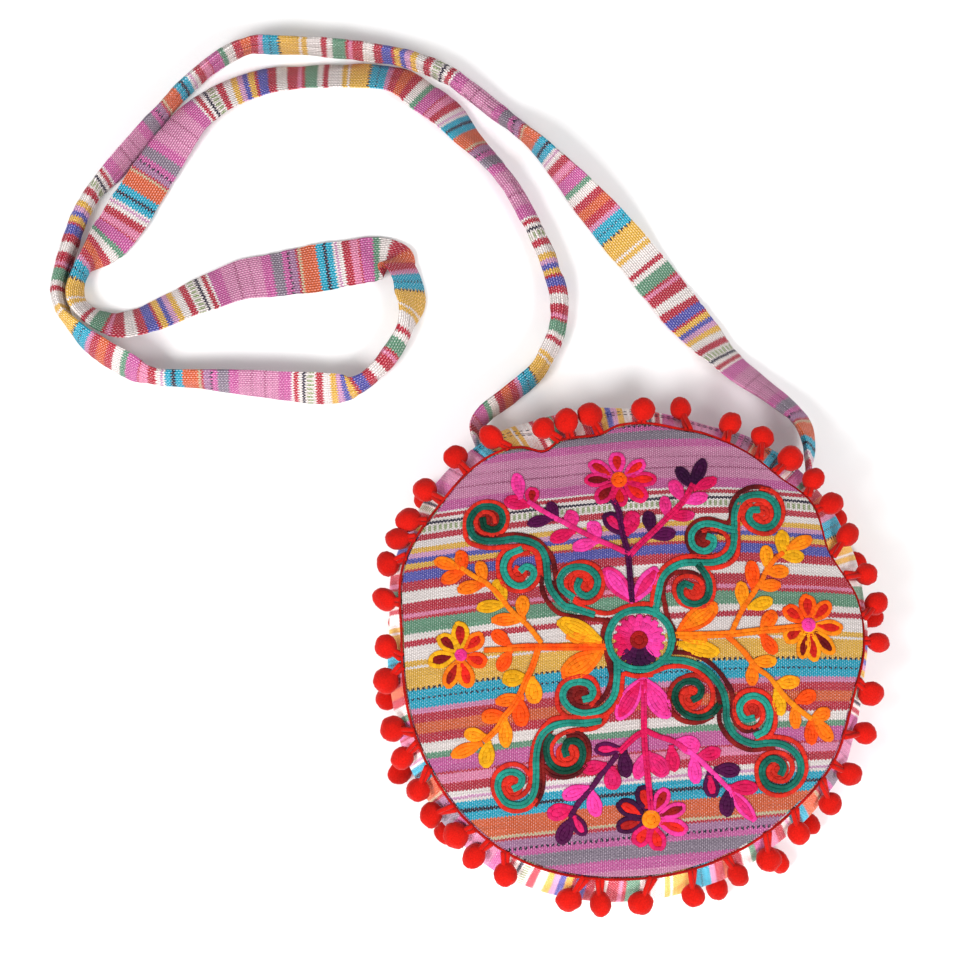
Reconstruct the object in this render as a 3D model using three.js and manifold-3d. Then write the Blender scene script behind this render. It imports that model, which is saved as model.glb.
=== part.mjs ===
// A round striped cloth shoulder bag lying on its back with its strap loose on the floor.
// Sizes are in millimetres, +Z is up and the origin is the middle of the back panel's underside.
// Plan angles are in degrees, counter-clockwise from +X, with +Y towards the bag's top.
import * as THREE from "three";
import Module from "manifold-3d";
import { mergeVertices } from "three/addons/utils/BufferGeometryUtils.js";

const wasm = await Module();
wasm.setup();

// Driving dimensions
const CLOTH = 2.0;
const PANEL_CLOTH = 2.2;
const SEAM_GAP = 0.35;
const FRONT_SEAM_HEIGHT = 46.5;
const DOME_RISE = 9.0;
const DOME_POWER = 2.6;
const BRAID_RADIUS = 1.1;
const BRAID_OFFSET = 0.95;
const BACK_BRAID_HEIGHT = 1.45;
const POMPOM_RADIUS = 5.6;
const TUCKED_RADIUS = 5.0;
const STEM_RADIUS = 1.1;
const ZIP_SLOT = 0.9;
const ZIP_WIDTH = 8.0;
const ZIP_THICKNESS = 1.0;
const ZIP_PLACE = 0.3;
const ZIP_RIGHT_END = 46.5;
const ZIP_LEFT_END = 127.0;
const STRAP_WIDTH = 21.5;
const STRAP_THICKNESS = 2.4;
const STRAP_STEPS_PER_ROW = 2;
// Half height of the strap where its cloth is gathered into a roll, and its share left at the roll's edges
const GATHERED_RADIUS = 4.2;
const GATHERED_EDGE_SHARE = 0.55;
// The least that the strap's cloth is gathered, where it is drawn a little wide
const WIDEST_GATHER = -0.2;
const RING_SECTORS = 56;
const PANEL_RINGS = 6;
const BRAID_SIDES = 4;
const POMPOM_SIDES = 6;
const TUCKED_SIDES = 5;
const BOTTOM_ROWS = 8;
const ZIP_FRONT_ROWS = 4;
const ZIP_BACK_ROWS = 7;
const ZIP_ROWS = 3;
const DENT_EDGE_POWER = 8;
const POMPOM_CLEARANCE = 0.25;
const POMPOM_START_RISE = 1.5;
const POMPOM_LOWEST = 33;
const POMPOM_STEP = 0.5;
const FLOOR_CLEARANCE = 0.3;
const END_CLEARANCE = 0.2;
const TOP_ANGLE = 90;
const STEEP = 0.9;
const MERGE_DISTANCE = 1e-4;

// The bag's plan outline: radius of the front seam, of the widest bulge and of the back seam
const OUTLINE = [
  { angle: 0, front: 109.5, bulge: 115.5, back: 105 },
  { angle: 11, front: 109.6, bulge: 118, back: 105.5 },
  { angle: 25, front: 104.4, bulge: 120.5, back: 106.5 },
  { angle: 38, front: 110.3, bulge: 122, back: 107 },
  { angle: 48, front: 107.8, bulge: 123, back: 108 },
  { angle: 58, front: 108.2, bulge: 121, back: 107 },
  { angle: 70, front: 107.2, bulge: 117.5, back: 106 },
  { angle: 77, front: 105.8, bulge: 117.5, back: 106 },
  { angle: 85, front: 106, bulge: 118, back: 106 },
  { angle: 92, front: 104.6, bulge: 119, back: 106 },
  { angle: 98, front: 101, bulge: 120, back: 106 },
  { angle: 108, front: 102.3, bulge: 120.5, back: 106 },
  { angle: 113.5, front: 100.4, bulge: 121.5, back: 106 },
  { angle: 118, front: 106.4, bulge: 122.5, back: 106.5 },
  { angle: 122, front: 109.6, bulge: 123.2, back: 107 },
  { angle: 130, front: 111.5, bulge: 123.5, back: 108 },
  { angle: 144, front: 111, bulge: 121.5, back: 107 },
  { angle: 160, front: 112.5, bulge: 119.5, back: 106 },
  { angle: 178, front: 106.5, bulge: 114.5, back: 104 },
  { angle: 206, front: 108.5, bulge: 117.5, back: 105 },
  { angle: 238, front: 111, bulge: 122, back: 107 },
  { angle: 272, front: 106.5, bulge: 118.5, back: 106 },
  { angle: 312, front: 105.8, bulge: 116, back: 105 },
  { angle: 330, front: 107.5, bulge: 117.5, back: 105 },
  { angle: 346, front: 106, bulge: 115, back: 104 },
];

// The gusset's profile: share of the way from a seam out to the bulge, and height above the floor
const UPPER_PROFILE = [
  { share: 0.06, height: 45.0 },
  { share: 0.3, height: 40.5 },
  { share: 0.63, height: 33.5 },
  { share: 0.92, height: 26.5 },
  { share: 1.0, height: 21.0 },
];
const LOWER_PROFILE = [
  { share: 0.8, height: 16.0 },
  { share: 0.3, height: 11.0 },
  { share: 0.06, height: 3.0 },
];

// Soft dents in the front panel: place, depth and spread
const DENTS = [
  { angle: 112, reach: 92, depth: 2.6, spread: 14 },
  { angle: 150, reach: 84, depth: 1.4, spread: 22 },
  { angle: 20, reach: 80, depth: 1.2, spread: 24 },
  { angle: 252, reach: 88, depth: 1.5, spread: 24 },
  { angle: 312, reach: 76, depth: 1.3, spread: 26 },
];

// Pompoms on the front seam: plan angle and distance from the bag's middle
const FRONT_POMPOMS = [
  { angle: 1, reach: 118 }, { angle: 10, reach: 120 }, { angle: 17, reach: 119 },
  { angle: 27, reach: 118 }, { angle: 35, reach: 119 }, { angle: 42, reach: 120 },
  { angle: 49, reach: 120 }, { angle: 57, reach: 121 }, { angle: 65, reach: 119 },
  { angle: 77, reach: 119 }, { angle: 86, reach: 114 }, { angle: 99, reach: 113 },
  { angle: 105, reach: 112 }, { angle: 111, reach: 112 }, { angle: 123, reach: 120 },
  { angle: 132, reach: 123 }, { angle: 142, reach: 123 }, { angle: 150, reach: 121 },
  { angle: 155, reach: 121 }, { angle: 161, reach: 121 }, { angle: 169, reach: 118 },
  { angle: 180, reach: 115 }, { angle: 188, reach: 116 }, { angle: 199, reach: 118 },
  { angle: 206, reach: 119 }, { angle: 214, reach: 120 }, { angle: 220, reach: 122 },
  { angle: 227, reach: 120 }, { angle: 233, reach: 122 }, { angle: 241, reach: 121 },
  { angle: 256, reach: 121 }, { angle: 263, reach: 120 }, { angle: 272, reach: 119 },
  { angle: 284, reach: 119 }, { angle: 295, reach: 117 }, { angle: 303, reach: 118 },
  { angle: 312, reach: 117 }, { angle: 322, reach: 119 }, { angle: 330, reach: 119 },
  { angle: 340, reach: 118 }, { angle: 349, reach: 116 },
];

// Pompoms on the back seam that lie out from under the bag; the rest are tucked below the bulge
const SHOWN_BACK_POMPOMS = [
  { angle: 8, reach: 123 }, { angle: 21, reach: 123 }, { angle: 32, reach: 125 },
  { angle: 142, reach: 124 }, { angle: 191, reach: 118 }, { angle: 208, reach: 124 },
  { angle: 225, reach: 123 }, { angle: 291, reach: 121 }, { angle: 306, reach: 124 },
  { angle: 317, reach: 121 },
];
const TUCKED_SPACING = 15;
const TUCKED_CLEARANCE = 7;
const TUCKED_REACH = 7.6;
const POMPOM_SWAY = 3.0;
const SWAY_RATE = 0.11;

// The strap's route from the left seam to the right: place, height of its middle, roll about its run and
// how far its cloth is gathered, from a flat strip at 0 to a roll at 1, or drawn wide under 0
const STRAP_ROUTE = [
  { x: -71.9, y: 100.6, lift: 20, roll: -88, gather: 0 },
  { x: -70, y: 115, lift: 17, roll: -74, gather: 0.3 },
  { x: -40, y: 143, lift: 12.5, roll: -72, gather: 0.45 },
  { x: -31, y: 181, lift: 12.5, roll: -65, gather: 0.7 },
  { x: -54, y: 235, lift: 12, roll: -62, gather: 0.65 },
  { x: -79, y: 265.5, lift: 9.5, roll: -38, gather: 0.2 },
  { x: -97, y: 283, lift: 8, roll: -24, gather: 0.1 },
  { x: -121, y: 295, lift: 9.5, roll: -37, gather: 0.1 },
  { x: -178, y: 293, lift: 8.5, roll: -34, gather: 0.1 },
  { x: -212.8, y: 278.2, lift: 6, roll: -14, gather: 0.34 },
  { x: -235.5, y: 247.3, lift: 5.5, roll: 10, gather: 0.12 },
  { x: -255.5, y: 214, lift: 5, roll: 12, gather: 0.05 },
  { x: -271, y: 193, lift: 12.5, roll: 80, gather: 0.55 },
  { x: -273.2, y: 177, lift: 12.5, roll: 74, gather: 0.5 },
  { x: -262, y: 166.8, lift: 10.5, roll: 54, gather: 0.3 },
  { x: -243, y: 165.8, lift: 8.5, roll: 38, gather: 0.1 },
  { x: -196, y: 187, lift: 4.5, roll: 10, gather: 0.1 },
  { x: -150, y: 196, lift: 2.5, roll: 2, gather: -0.15 },
  { x: -120, y: 200, lift: 4.5, roll: 12, gather: 0 },
  { x: -110.5, y: 195, lift: 10, roll: 50, gather: 0.05 },
  { x: -105.5, y: 176.5, lift: 9.8, roll: 50, gather: 0.06 },
  { x: -112, y: 155.5, lift: 13, roll: 84, gather: 0.8 },
  { x: -128, y: 136, lift: 13, roll: 80, gather: 0.7 },
  { x: -146, y: 131, lift: 11.5, roll: 54, gather: 0.15 },
  { x: -205, y: 135.5, lift: 12.5, roll: 70, gather: 0.35 },
  { x: -230, y: 137.5, lift: 12.5, roll: 80, gather: 0.65 },
  { x: -243, y: 141, lift: 13, roll: 62, gather: 0.25 },
  { x: -267.6, y: 156.5, lift: 13, roll: 62, gather: 0.3 },
  { x: -281.4, y: 177.2, lift: 13.5, roll: 100, gather: 0.55 },
  { x: -277, y: 208, lift: 14, roll: 92, gather: 0.7 },
  { x: -269, y: 229.5, lift: 13.5, roll: 94, gather: 0.7 },
  { x: -253, y: 248.5, lift: 12.4, roll: 104, gather: 0.2 },
  { x: -221, y: 289.5, lift: 13.5, roll: 93, gather: 0.5 },
  { x: -195, y: 309, lift: 14, roll: 90, gather: 0.5 },
  { x: -176, y: 312, lift: 13, roll: 98, gather: 0.4 },
  { x: -126, y: 308.3, lift: 12.5, roll: 98, gather: 0.45 },
  { x: -92.5, y: 297.8, lift: 15.5, roll: 88, gather: 0.8 },
  { x: -65, y: 278.5, lift: 13, roll: 87, gather: 0.9 },
  { x: -38, y: 255, lift: 13.5, roll: 108, gather: 0.4 },
  { x: 16, y: 193, lift: 2.5, roll: 180, gather: 0.1 },
  { x: 36, y: 166, lift: 4, roll: 188, gather: 0.12 },
  { x: 55, y: 143, lift: 11, roll: 220, gather: 0.22 },
  { x: 88.5, y: 112.5, lift: 18, roll: 236, gather: 0.4 },
  { x: 90.2, y: 83.1, lift: 21.5, roll: 272, gather: 0 },
];

// Small helpers
const radians = (angle) => (angle * Math.PI) / 180;
const FULL_TURN = 360;

function around(angle) {
  return ((angle % FULL_TURN) + FULL_TURN) % FULL_TURN;
}

function hermite(start, end, startSlope, endSlope, share, span) {
  const squared = share * share;
  const cubed = squared * share;
  const startPart =
    (2 * cubed - 3 * squared + 1) * start + (cubed - 2 * squared + share) * startSlope * span;
  const endPart = (3 * squared - 2 * cubed) * end + (cubed - squared) * endSlope * span;
  return startPart + endPart;
}

// A smooth value round the outline at any plan angle
function outlineAt(angle, column) {
  const turned = around(angle);
  const count = OUTLINE.length;
  let row = count - 1;
  while (row > 0 && OUTLINE[row].angle > turned) row -= 1;
  const pick = (index) => {
    const wraps = Math.floor(index / count);
    const entry = OUTLINE[index - wraps * count];
    return { angle: entry.angle + wraps * FULL_TURN, value: entry[column] };
  };
  const slopeAt = (index) => {
    const before = pick(index - 1);
    const after = pick(index + 1);
    return (after.value - before.value) / (after.angle - before.angle);
  };
  const start = pick(row);
  const end = pick(row + 1);
  const span = end.angle - start.angle;
  const share = (turned - start.angle) / span;
  return hermite(start.value, end.value, slopeAt(row), slopeAt(row + 1), share, span);
}

// The gusset's outer profile at a plan angle, from the front seam to the back seam
function gussetProfile(angle) {
  const front = outlineAt(angle, "front");
  const bulge = outlineAt(angle, "bulge");
  const back = outlineAt(angle, "back");
  const upper = UPPER_PROFILE.map((row) => ({
    reach: front + (bulge - front) * row.share,
    height: row.height,
  }));
  const lower = LOWER_PROFILE.map((row) => ({
    reach: back + (bulge - back) * row.share,
    height: row.height,
  }));
  return [...upper, ...lower];
}

// A run of the profile between two shares of its length, with its inner side a cloth thickness away
function profileRun(angle, from, to, count, outset, thickness) {
  const profile = gussetProfile(angle);
  const lengths = [0];
  for (let index = 1; index < profile.length; index += 1) {
    const step = Math.hypot(
      profile[index].reach - profile[index - 1].reach,
      profile[index].height - profile[index - 1].height,
    );
    lengths.push(lengths[index - 1] + step);
  }
  const total = lengths[lengths.length - 1];
  const at = (share) => {
    const wanted = Math.min(Math.max(share, 0), 1) * total;
    let index = 1;
    while (index < lengths.length - 1 && lengths[index] < wanted) index += 1;
    const part = (wanted - lengths[index - 1]) / (lengths[index] - lengths[index - 1]);
    const start = profile[index - 1];
    const end = profile[index];
    return {
      reach: start.reach + (end.reach - start.reach) * part,
      height: start.height + (end.height - start.height) * part,
    };
  };
  const probe = 0.03;
  const outer = [];
  const inner = [];
  for (let index = 0; index < count; index += 1) {
    const share = from + ((to - from) * index) / (count - 1);
    const place = at(share);
    const before = at(share - probe);
    const after = at(share + probe);
    const length = Math.hypot(after.reach - before.reach, after.height - before.height);
    const normalReach = -(after.height - before.height) / length;
    const normalHeight = (after.reach - before.reach) / length;
    outer.push({ reach: place.reach + normalReach * outset, height: place.height + normalHeight * outset });
    inner.push({
      reach: place.reach + normalReach * (outset - thickness),
      height: place.height + normalHeight * (outset - thickness),
    });
  }
  return { outer, inner, total };
}

function plan(angle, reach, height) {
  return new THREE.Vector3(Math.cos(radians(angle)) * reach, Math.sin(radians(angle)) * reach, height);
}

// A closed mesh from points and triangles, turned the right way out
function closedGeometry(points, triangles) {
  let volume = 0;
  for (const [a, b, c] of triangles) {
    volume += points[a].dot(new THREE.Vector3().crossVectors(points[b], points[c]));
  }
  const ordered = volume < 0 ? triangles.map(([a, b, c]) => [a, c, b]) : triangles;
  const geometry = new THREE.BufferGeometry();
  const positions = points.flatMap((point) => [point.x, point.y, point.z]);
  geometry.setAttribute("position", new THREE.Float32BufferAttribute(positions, 3));
  geometry.setIndex(ordered.flat());
  return geometry;
}

// A skin through loops of equal length, closed into a ring or capped at both ends
function loft(loops, ring, capTriangles) {
  const size = loops[0].length;
  const points = loops.flat();
  const triangles = [];
  const spans = ring ? loops.length : loops.length - 1;
  for (let row = 0; row < spans; row += 1) {
    const next = (row + 1) % loops.length;
    for (let column = 0; column < size; column += 1) {
      const across = (column + 1) % size;
      const a = row * size + column;
      const b = row * size + across;
      const c = next * size + across;
      const d = next * size + column;
      triangles.push([a, b, c], [a, c, d]);
    }
  }
  if (!ring) {
    const last = (loops.length - 1) * size;
    for (const [a, b, c] of capTriangles) {
      triangles.push([a, c, b], [last + a, last + b, last + c]);
    }
  }
  return closedGeometry(points, triangles);
}

// Cap of a strip section whose first half is the outer side and second half the inner side reversed
function stripCap(count) {
  const cap = [];
  for (let index = 0; index < count - 1; index += 1) {
    const outerHere = index;
    const outerNext = index + 1;
    const innerHere = 2 * count - 1 - index;
    const innerNext = 2 * count - 2 - index;
    cap.push([outerHere, outerNext, innerNext], [outerHere, innerNext, innerHere]);
  }
  return cap;
}

function fanCap(size) {
  const cap = [];
  for (let index = 1; index < size - 1; index += 1) cap.push([0, index, index + 1]);
  return cap;
}

// A band of gusset cloth between two plan angles and two shares of the profile
function gussetBand(startAngle, endAngle, from, to, count, outset, thickness) {
  const sweep = endAngle - startAngle;
  const steps = Math.max(2, Math.round((sweep * RING_SECTORS) / FULL_TURN));
  const loops = [];
  for (let step = 0; step <= steps; step += 1) {
    const angle = startAngle + (sweep * step) / steps;
    const run = profileRun(angle, from, to, count, outset, thickness);
    const outer = run.outer.map((place) => plan(angle, place.reach, place.height));
    const inner = run.inner.map((place) => plan(angle, place.reach, place.height)).reverse();
    loops.push([...outer, ...inner]);
  }
  return loft(loops, false, stripCap(count));
}

// Front panel: a soft dome with dents
function panelTop(angle, share) {
  const edge = outlineAt(angle, "front") - SEAM_GAP;
  const reach = edge * share;
  let height = FRONT_SEAM_HEIGHT + PANEL_CLOTH / 2 + DOME_RISE * (1 - share ** DOME_POWER);
  for (const dent of DENTS) {
    const offX = Math.cos(radians(angle)) * reach - Math.cos(radians(dent.angle)) * dent.reach;
    const offY = Math.sin(radians(angle)) * reach - Math.sin(radians(dent.angle)) * dent.reach;
    const away = (offX * offX + offY * offY) / (dent.spread * dent.spread);
    height -= dent.depth * Math.exp(-away) * (1 - share ** DENT_EDGE_POWER);
  }
  return { reach, height };
}

function discGeometry(topAt, bottomAt, rings) {
  const points = [];
  const triangles = [];
  const sides = [topAt, bottomAt];
  const starts = [];
  for (const sideAt of sides) {
    starts.push(points.length);
    const middle = sideAt(0, 0);
    points.push(new THREE.Vector3(0, 0, middle.height));
    for (let ring = 1; ring <= rings; ring += 1) {
      for (let sector = 0; sector < RING_SECTORS; sector += 1) {
        const angle = (FULL_TURN * sector) / RING_SECTORS;
        const place = sideAt(angle, ring / rings);
        points.push(plan(angle, place.reach, place.height));
      }
    }
  }
  const at = (side, ring, sector) => starts[side] + 1 + (ring - 1) * RING_SECTORS + (sector % RING_SECTORS);
  for (let side = 0; side < sides.length; side += 1) {
    const push = (a, b, c) => triangles.push(side === 0 ? [a, b, c] : [a, c, b]);
    for (let sector = 0; sector < RING_SECTORS; sector += 1) {
      push(starts[side], at(side, 1, sector), at(side, 1, sector + 1));
      for (let ring = 1; ring < rings; ring += 1) {
        push(at(side, ring, sector), at(side, ring + 1, sector), at(side, ring + 1, sector + 1));
        push(at(side, ring, sector), at(side, ring + 1, sector + 1), at(side, ring, sector + 1));
      }
    }
  }
  for (let sector = 0; sector < RING_SECTORS; sector += 1) {
    const topHere = at(0, rings, sector);
    const topNext = at(0, rings, sector + 1);
    const lowHere = at(1, rings, sector);
    const lowNext = at(1, rings, sector + 1);
    triangles.push([topHere, lowHere, lowNext], [topHere, lowNext, topNext]);
  }
  return closedGeometry(points, triangles);
}

// Braid rings and pompoms, fused into one trim
function braidGeometry(column, height) {
  const loops = [];
  for (let sector = 0; sector < RING_SECTORS; sector += 1) {
    const angle = (FULL_TURN * sector) / RING_SECTORS;
    const reach = outlineAt(angle, column) + BRAID_OFFSET;
    const loop = [];
    for (let side = 0; side < BRAID_SIDES; side += 1) {
      const turn = (FULL_TURN * side) / BRAID_SIDES;
      const across = Math.cos(radians(turn)) * BRAID_RADIUS;
      const rise = Math.sin(radians(turn)) * BRAID_RADIUS;
      loop.push(plan(angle, reach + across, height + rise));
    }
    loops.push(loop);
  }
  return loft(loops, true, []);
}

// A pompom on its stem: rows of distance from the pompom's middle and radius, both in pompom radii
const POMPOM_PROFILE = [
  { along: -0.9, girth: 0.36 },
  { along: -0.35, girth: 0.97 },
  { along: 0.35, girth: 0.97 },
  { along: 0.88, girth: 0.48 },
];

function pompomGeometry(root, middle, radius, sides) {
  const axis = new THREE.Vector3().subVectors(middle, root);
  const length = axis.length();
  axis.normalize();
  const helper = Math.abs(axis.z) > STEEP ? new THREE.Vector3(1, 0, 0) : new THREE.Vector3(0, 0, 1);
  const sideways = new THREE.Vector3().crossVectors(axis, helper).normalize();
  const upward = new THREE.Vector3().crossVectors(axis, sideways);
  const rows = [{ along: 0, girth: STEM_RADIUS }];
  for (const row of POMPOM_PROFILE) {
    rows.push({ along: length + row.along * radius, girth: row.girth * radius });
  }
  const loops = rows.map((row) => {
    const loop = [];
    for (let side = 0; side < sides; side += 1) {
      const turn = radians((FULL_TURN * side) / sides);
      const point = root.clone().addScaledVector(axis, row.along);
      point.addScaledVector(sideways, Math.cos(turn) * row.girth);
      point.addScaledVector(upward, Math.sin(turn) * row.girth);
      loop.push(point);
    }
    return loop;
  });
  return loft(loops, false, fanCap(sides));
}

// The lowest height at which a pompom of the given reach clears the gusset's slope
function restingHeight(angle, reach, radius) {
  const profile = gussetProfile(angle);
  const needed = radius + SEAM_GAP + POMPOM_CLEARANCE;
  let height = FRONT_SEAM_HEIGHT + POMPOM_START_RISE;
  const clears = (level) => {
    for (let index = 1; index < profile.length; index += 1) {
      const start = profile[index - 1];
      const end = profile[index];
      const alongReach = end.reach - start.reach;
      const alongHeight = end.height - start.height;
      const squared = alongReach * alongReach + alongHeight * alongHeight;
      const wanted = ((reach - start.reach) * alongReach + (level - start.height) * alongHeight) / squared;
      const share = Math.min(Math.max(wanted, 0), 1);
      const offReach = reach - start.reach - share * alongReach;
      const offHeight = level - start.height - share * alongHeight;
      if (Math.hypot(offReach, offHeight) < needed) return false;
    }
    return true;
  };
  while (height - POMPOM_STEP > POMPOM_LOWEST && clears(height - POMPOM_STEP)) height -= POMPOM_STEP;
  return height;
}

function sway(angle) {
  return POMPOM_SWAY * Math.sin(angle * angle * SWAY_RATE);
}

function frontPompoms() {
  return FRONT_POMPOMS.map((row) => {
    const rootAngle = row.angle + sway(row.angle);
    const root = plan(rootAngle, outlineAt(rootAngle, "front") + BRAID_OFFSET, FRONT_SEAM_HEIGHT);
    const height = restingHeight(row.angle, row.reach, POMPOM_RADIUS);
    return pompomGeometry(root, plan(row.angle, row.reach, height), POMPOM_RADIUS, POMPOM_SIDES);
  });
}

function backPompoms() {
  const shown = SHOWN_BACK_POMPOMS.map((row) => {
    const root = plan(row.angle, outlineAt(row.angle, "back") + BRAID_OFFSET, BACK_BRAID_HEIGHT);
    const middle = plan(row.angle, row.reach, POMPOM_RADIUS + FLOOR_CLEARANCE);
    return pompomGeometry(root, middle, POMPOM_RADIUS, POMPOM_SIDES);
  });
  const tucked = [];
  for (let angle = TUCKED_SPACING / 2; angle < FULL_TURN; angle += TUCKED_SPACING) {
    const near = SHOWN_BACK_POMPOMS.some((row) => Math.abs(row.angle - angle) < TUCKED_CLEARANCE);
    if (near) continue;
    const reach = outlineAt(angle, "back") + TUCKED_REACH;
    const root = plan(angle, outlineAt(angle, "back") + BRAID_OFFSET, BACK_BRAID_HEIGHT);
    const middle = plan(angle, reach, TUCKED_RADIUS + FLOOR_CLEARANCE);
    tucked.push(pompomGeometry(root, middle, TUCKED_RADIUS, TUCKED_SIDES));
  }
  return [...shown, ...tucked];
}

function toManifold(geometry) {
  geometry.deleteAttribute("normal");
  geometry.deleteAttribute("uv");
  const merged = mergeVertices(geometry, MERGE_DISTANCE);
  const mesh = new wasm.Mesh({
    numProp: 3,
    vertProperties: new Float32Array(merged.attributes.position.array),
    triVerts: new Uint32Array(merged.index.array),
  });
  return new wasm.Manifold(mesh);
}

function fuse(geometries) {
  let whole = toManifold(geometries[0]);
  for (const geometry of geometries.slice(1)) whole = whole.add(toManifold(geometry));
  const mesh = whole.getMesh();
  const fused = new THREE.BufferGeometry();
  const places = new THREE.Float32BufferAttribute(Array.from(mesh.vertProperties), mesh.numProp);
  fused.setAttribute("position", places);
  fused.setIndex(Array.from(mesh.triVerts));
  return fused;
}

// Strap: a folded strip, flat or gathered, swept along its route
function strapGeometry() {
  const rows = STRAP_ROUTE;
  const clampRow = (index) => rows[Math.min(Math.max(index, 0), rows.length - 1)];
  const between = (column, row, share) => {
    const start = clampRow(row)[column];
    const end = clampRow(row + 1)[column];
    const startSlope = (end - clampRow(row - 1)[column]) / 2;
    const endSlope = (clampRow(row + 2)[column] - start) / 2;
    return hermite(start, end, startSlope, endSlope, share, 1);
  };
  const stations = [];
  for (let row = 0; row < rows.length - 1; row += 1) {
    for (let step = 0; step < STRAP_STEPS_PER_ROW; step += 1) {
      stations.push({ row, share: step / STRAP_STEPS_PER_ROW });
    }
  }
  stations.push({ row: rows.length - 2, share: 1 });
  const places = stations.map(({ row, share }) => {
    const [x, y, lift] = ["x", "y", "lift"].map((column) => between(column, row, share));
    return {
      middle: new THREE.Vector3(x, y, lift),
      roll: between("roll", row, share),
      gather: THREE.MathUtils.clamp(between("gather", row, share), WIDEST_GATHER, 1),
    };
  });
  const half = STRAP_WIDTH / 2;
  const flat = STRAP_THICKNESS / 2;
  const loops = places.map((place, index) => {
    const before = places[Math.max(index - 1, 0)].middle;
    const after = places[Math.min(index + 1, places.length - 1)].middle;
    const run = new THREE.Vector3().subVectors(after, before).normalize();
    const level = new THREE.Vector3(run.y, -run.x, 0).normalize();
    const rise = new THREE.Vector3().crossVectors(level, run).normalize();
    const across = level.clone().multiplyScalar(Math.cos(radians(place.roll)));
    across.addScaledVector(rise, Math.sin(radians(place.roll)));
    const facing = new THREE.Vector3().crossVectors(across, run).normalize();
    const reach = THREE.MathUtils.lerp(half, GATHERED_RADIUS, place.gather);
    const thick = THREE.MathUtils.lerp(flat, GATHERED_RADIUS, place.gather);
    const edge = THREE.MathUtils.lerp(flat / 2, GATHERED_RADIUS * GATHERED_EDGE_SHARE, place.gather);
    // A gathered strip settles, so that its underside stays where the flat strip's was
    const middle = place.middle.clone();
    middle.z -= (half - reach) * Math.abs(across.z) - (thick - flat) * Math.abs(facing.z);
    const corner = (side, out) => middle.clone().addScaledVector(across, side).addScaledVector(facing, out);
    return [
      corner(-reach, -edge),
      corner(0, -thick),
      corner(reach, -edge),
      corner(reach, edge),
      corner(0, thick),
      corner(-reach, edge),
    ];
  });
  return loft(loops, false, fanCap(loops[0].length));
}

// Colours and assembly
const stripedCloth = { color: 0xc48ab4, roughness: 0.9, metalness: 0 };
const gussetCloth = { color: 0xd8b04c, roughness: 0.9, metalness: 0 };
const zipCloth = { color: 0x4a1420, roughness: 0.8, metalness: 0 };
const trimWool = { color: 0xd7261c, roughness: 1, metalness: 0 };
const strapCloth = { color: 0xe08ab8, roughness: 0.9, metalness: 0 };

const bag = new THREE.Group();
bag.name = "shoulder_bag";

function addPiece(name, geometry, look) {
  geometry.computeVertexNormals();
  const piece = new THREE.Mesh(geometry, new THREE.MeshStandardMaterial(look));
  piece.name = name;
  bag.add(piece);
}

const profileLength = profileRun(TOP_ANGLE, 0, 1, 2, 0, CLOTH).total;
const halfSlot = ZIP_SLOT / 2 / profileLength;
const halfZip = ZIP_WIDTH / 2 / profileLength;

const panelUnder = (angle, share) => {
  const place = panelTop(angle, share);
  return { reach: place.reach, height: place.height - PANEL_CLOTH };
};
const backTop = (angle, share) => ({
  reach: (outlineAt(angle, "back") - SEAM_GAP) * share,
  height: PANEL_CLOTH,
});
const backUnder = (angle, share) => ({
  reach: (outlineAt(angle, "back") - SEAM_GAP) * share,
  height: 0,
});

addPiece("front_panel", discGeometry(panelTop, panelUnder, PANEL_RINGS), stripedCloth);
addPiece("back_panel", discGeometry(backTop, backUnder, 1), stripedCloth);
addPiece(
  "bottom_gusset",
  gussetBand(
    ZIP_LEFT_END + END_CLEARANCE,
    ZIP_RIGHT_END + FULL_TURN - END_CLEARANCE,
    0,
    1,
    BOTTOM_ROWS,
    0,
    CLOTH,
  ),
  gussetCloth,
);
addPiece(
  "zip_band_front",
  gussetBand(ZIP_RIGHT_END, ZIP_LEFT_END, 0, ZIP_PLACE - halfSlot, ZIP_FRONT_ROWS, 0, CLOTH),
  gussetCloth,
);
addPiece(
  "zip_band_back",
  gussetBand(ZIP_RIGHT_END, ZIP_LEFT_END, ZIP_PLACE + halfSlot, 1, ZIP_BACK_ROWS, 0, CLOTH),
  gussetCloth,
);
addPiece(
  "zip",
  gussetBand(
    ZIP_RIGHT_END,
    ZIP_LEFT_END,
    ZIP_PLACE - halfZip,
    ZIP_PLACE + halfZip,
    ZIP_ROWS,
    -CLOTH - SEAM_GAP,
    ZIP_THICKNESS,
  ),
  zipCloth,
);
addPiece("front_trim", fuse([braidGeometry("front", FRONT_SEAM_HEIGHT), ...frontPompoms()]), trimWool);
addPiece("back_trim", fuse([braidGeometry("back", BACK_BRAID_HEIGHT), ...backPompoms()]), trimWool);
addPiece("strap", strapGeometry(), strapCloth);

export default bag;
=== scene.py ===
"""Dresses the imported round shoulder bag: woven stripes, loose strap, pompom trim, embroidery and stage.

The tables are in millimetres and repeat the part's own sizes.
Meshes are made in metres, in the part's frame.
"""

import math

import bmesh
import bpy
from bpy.props import FloatProperty, FloatVectorProperty, PointerProperty
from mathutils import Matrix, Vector, noise


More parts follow.
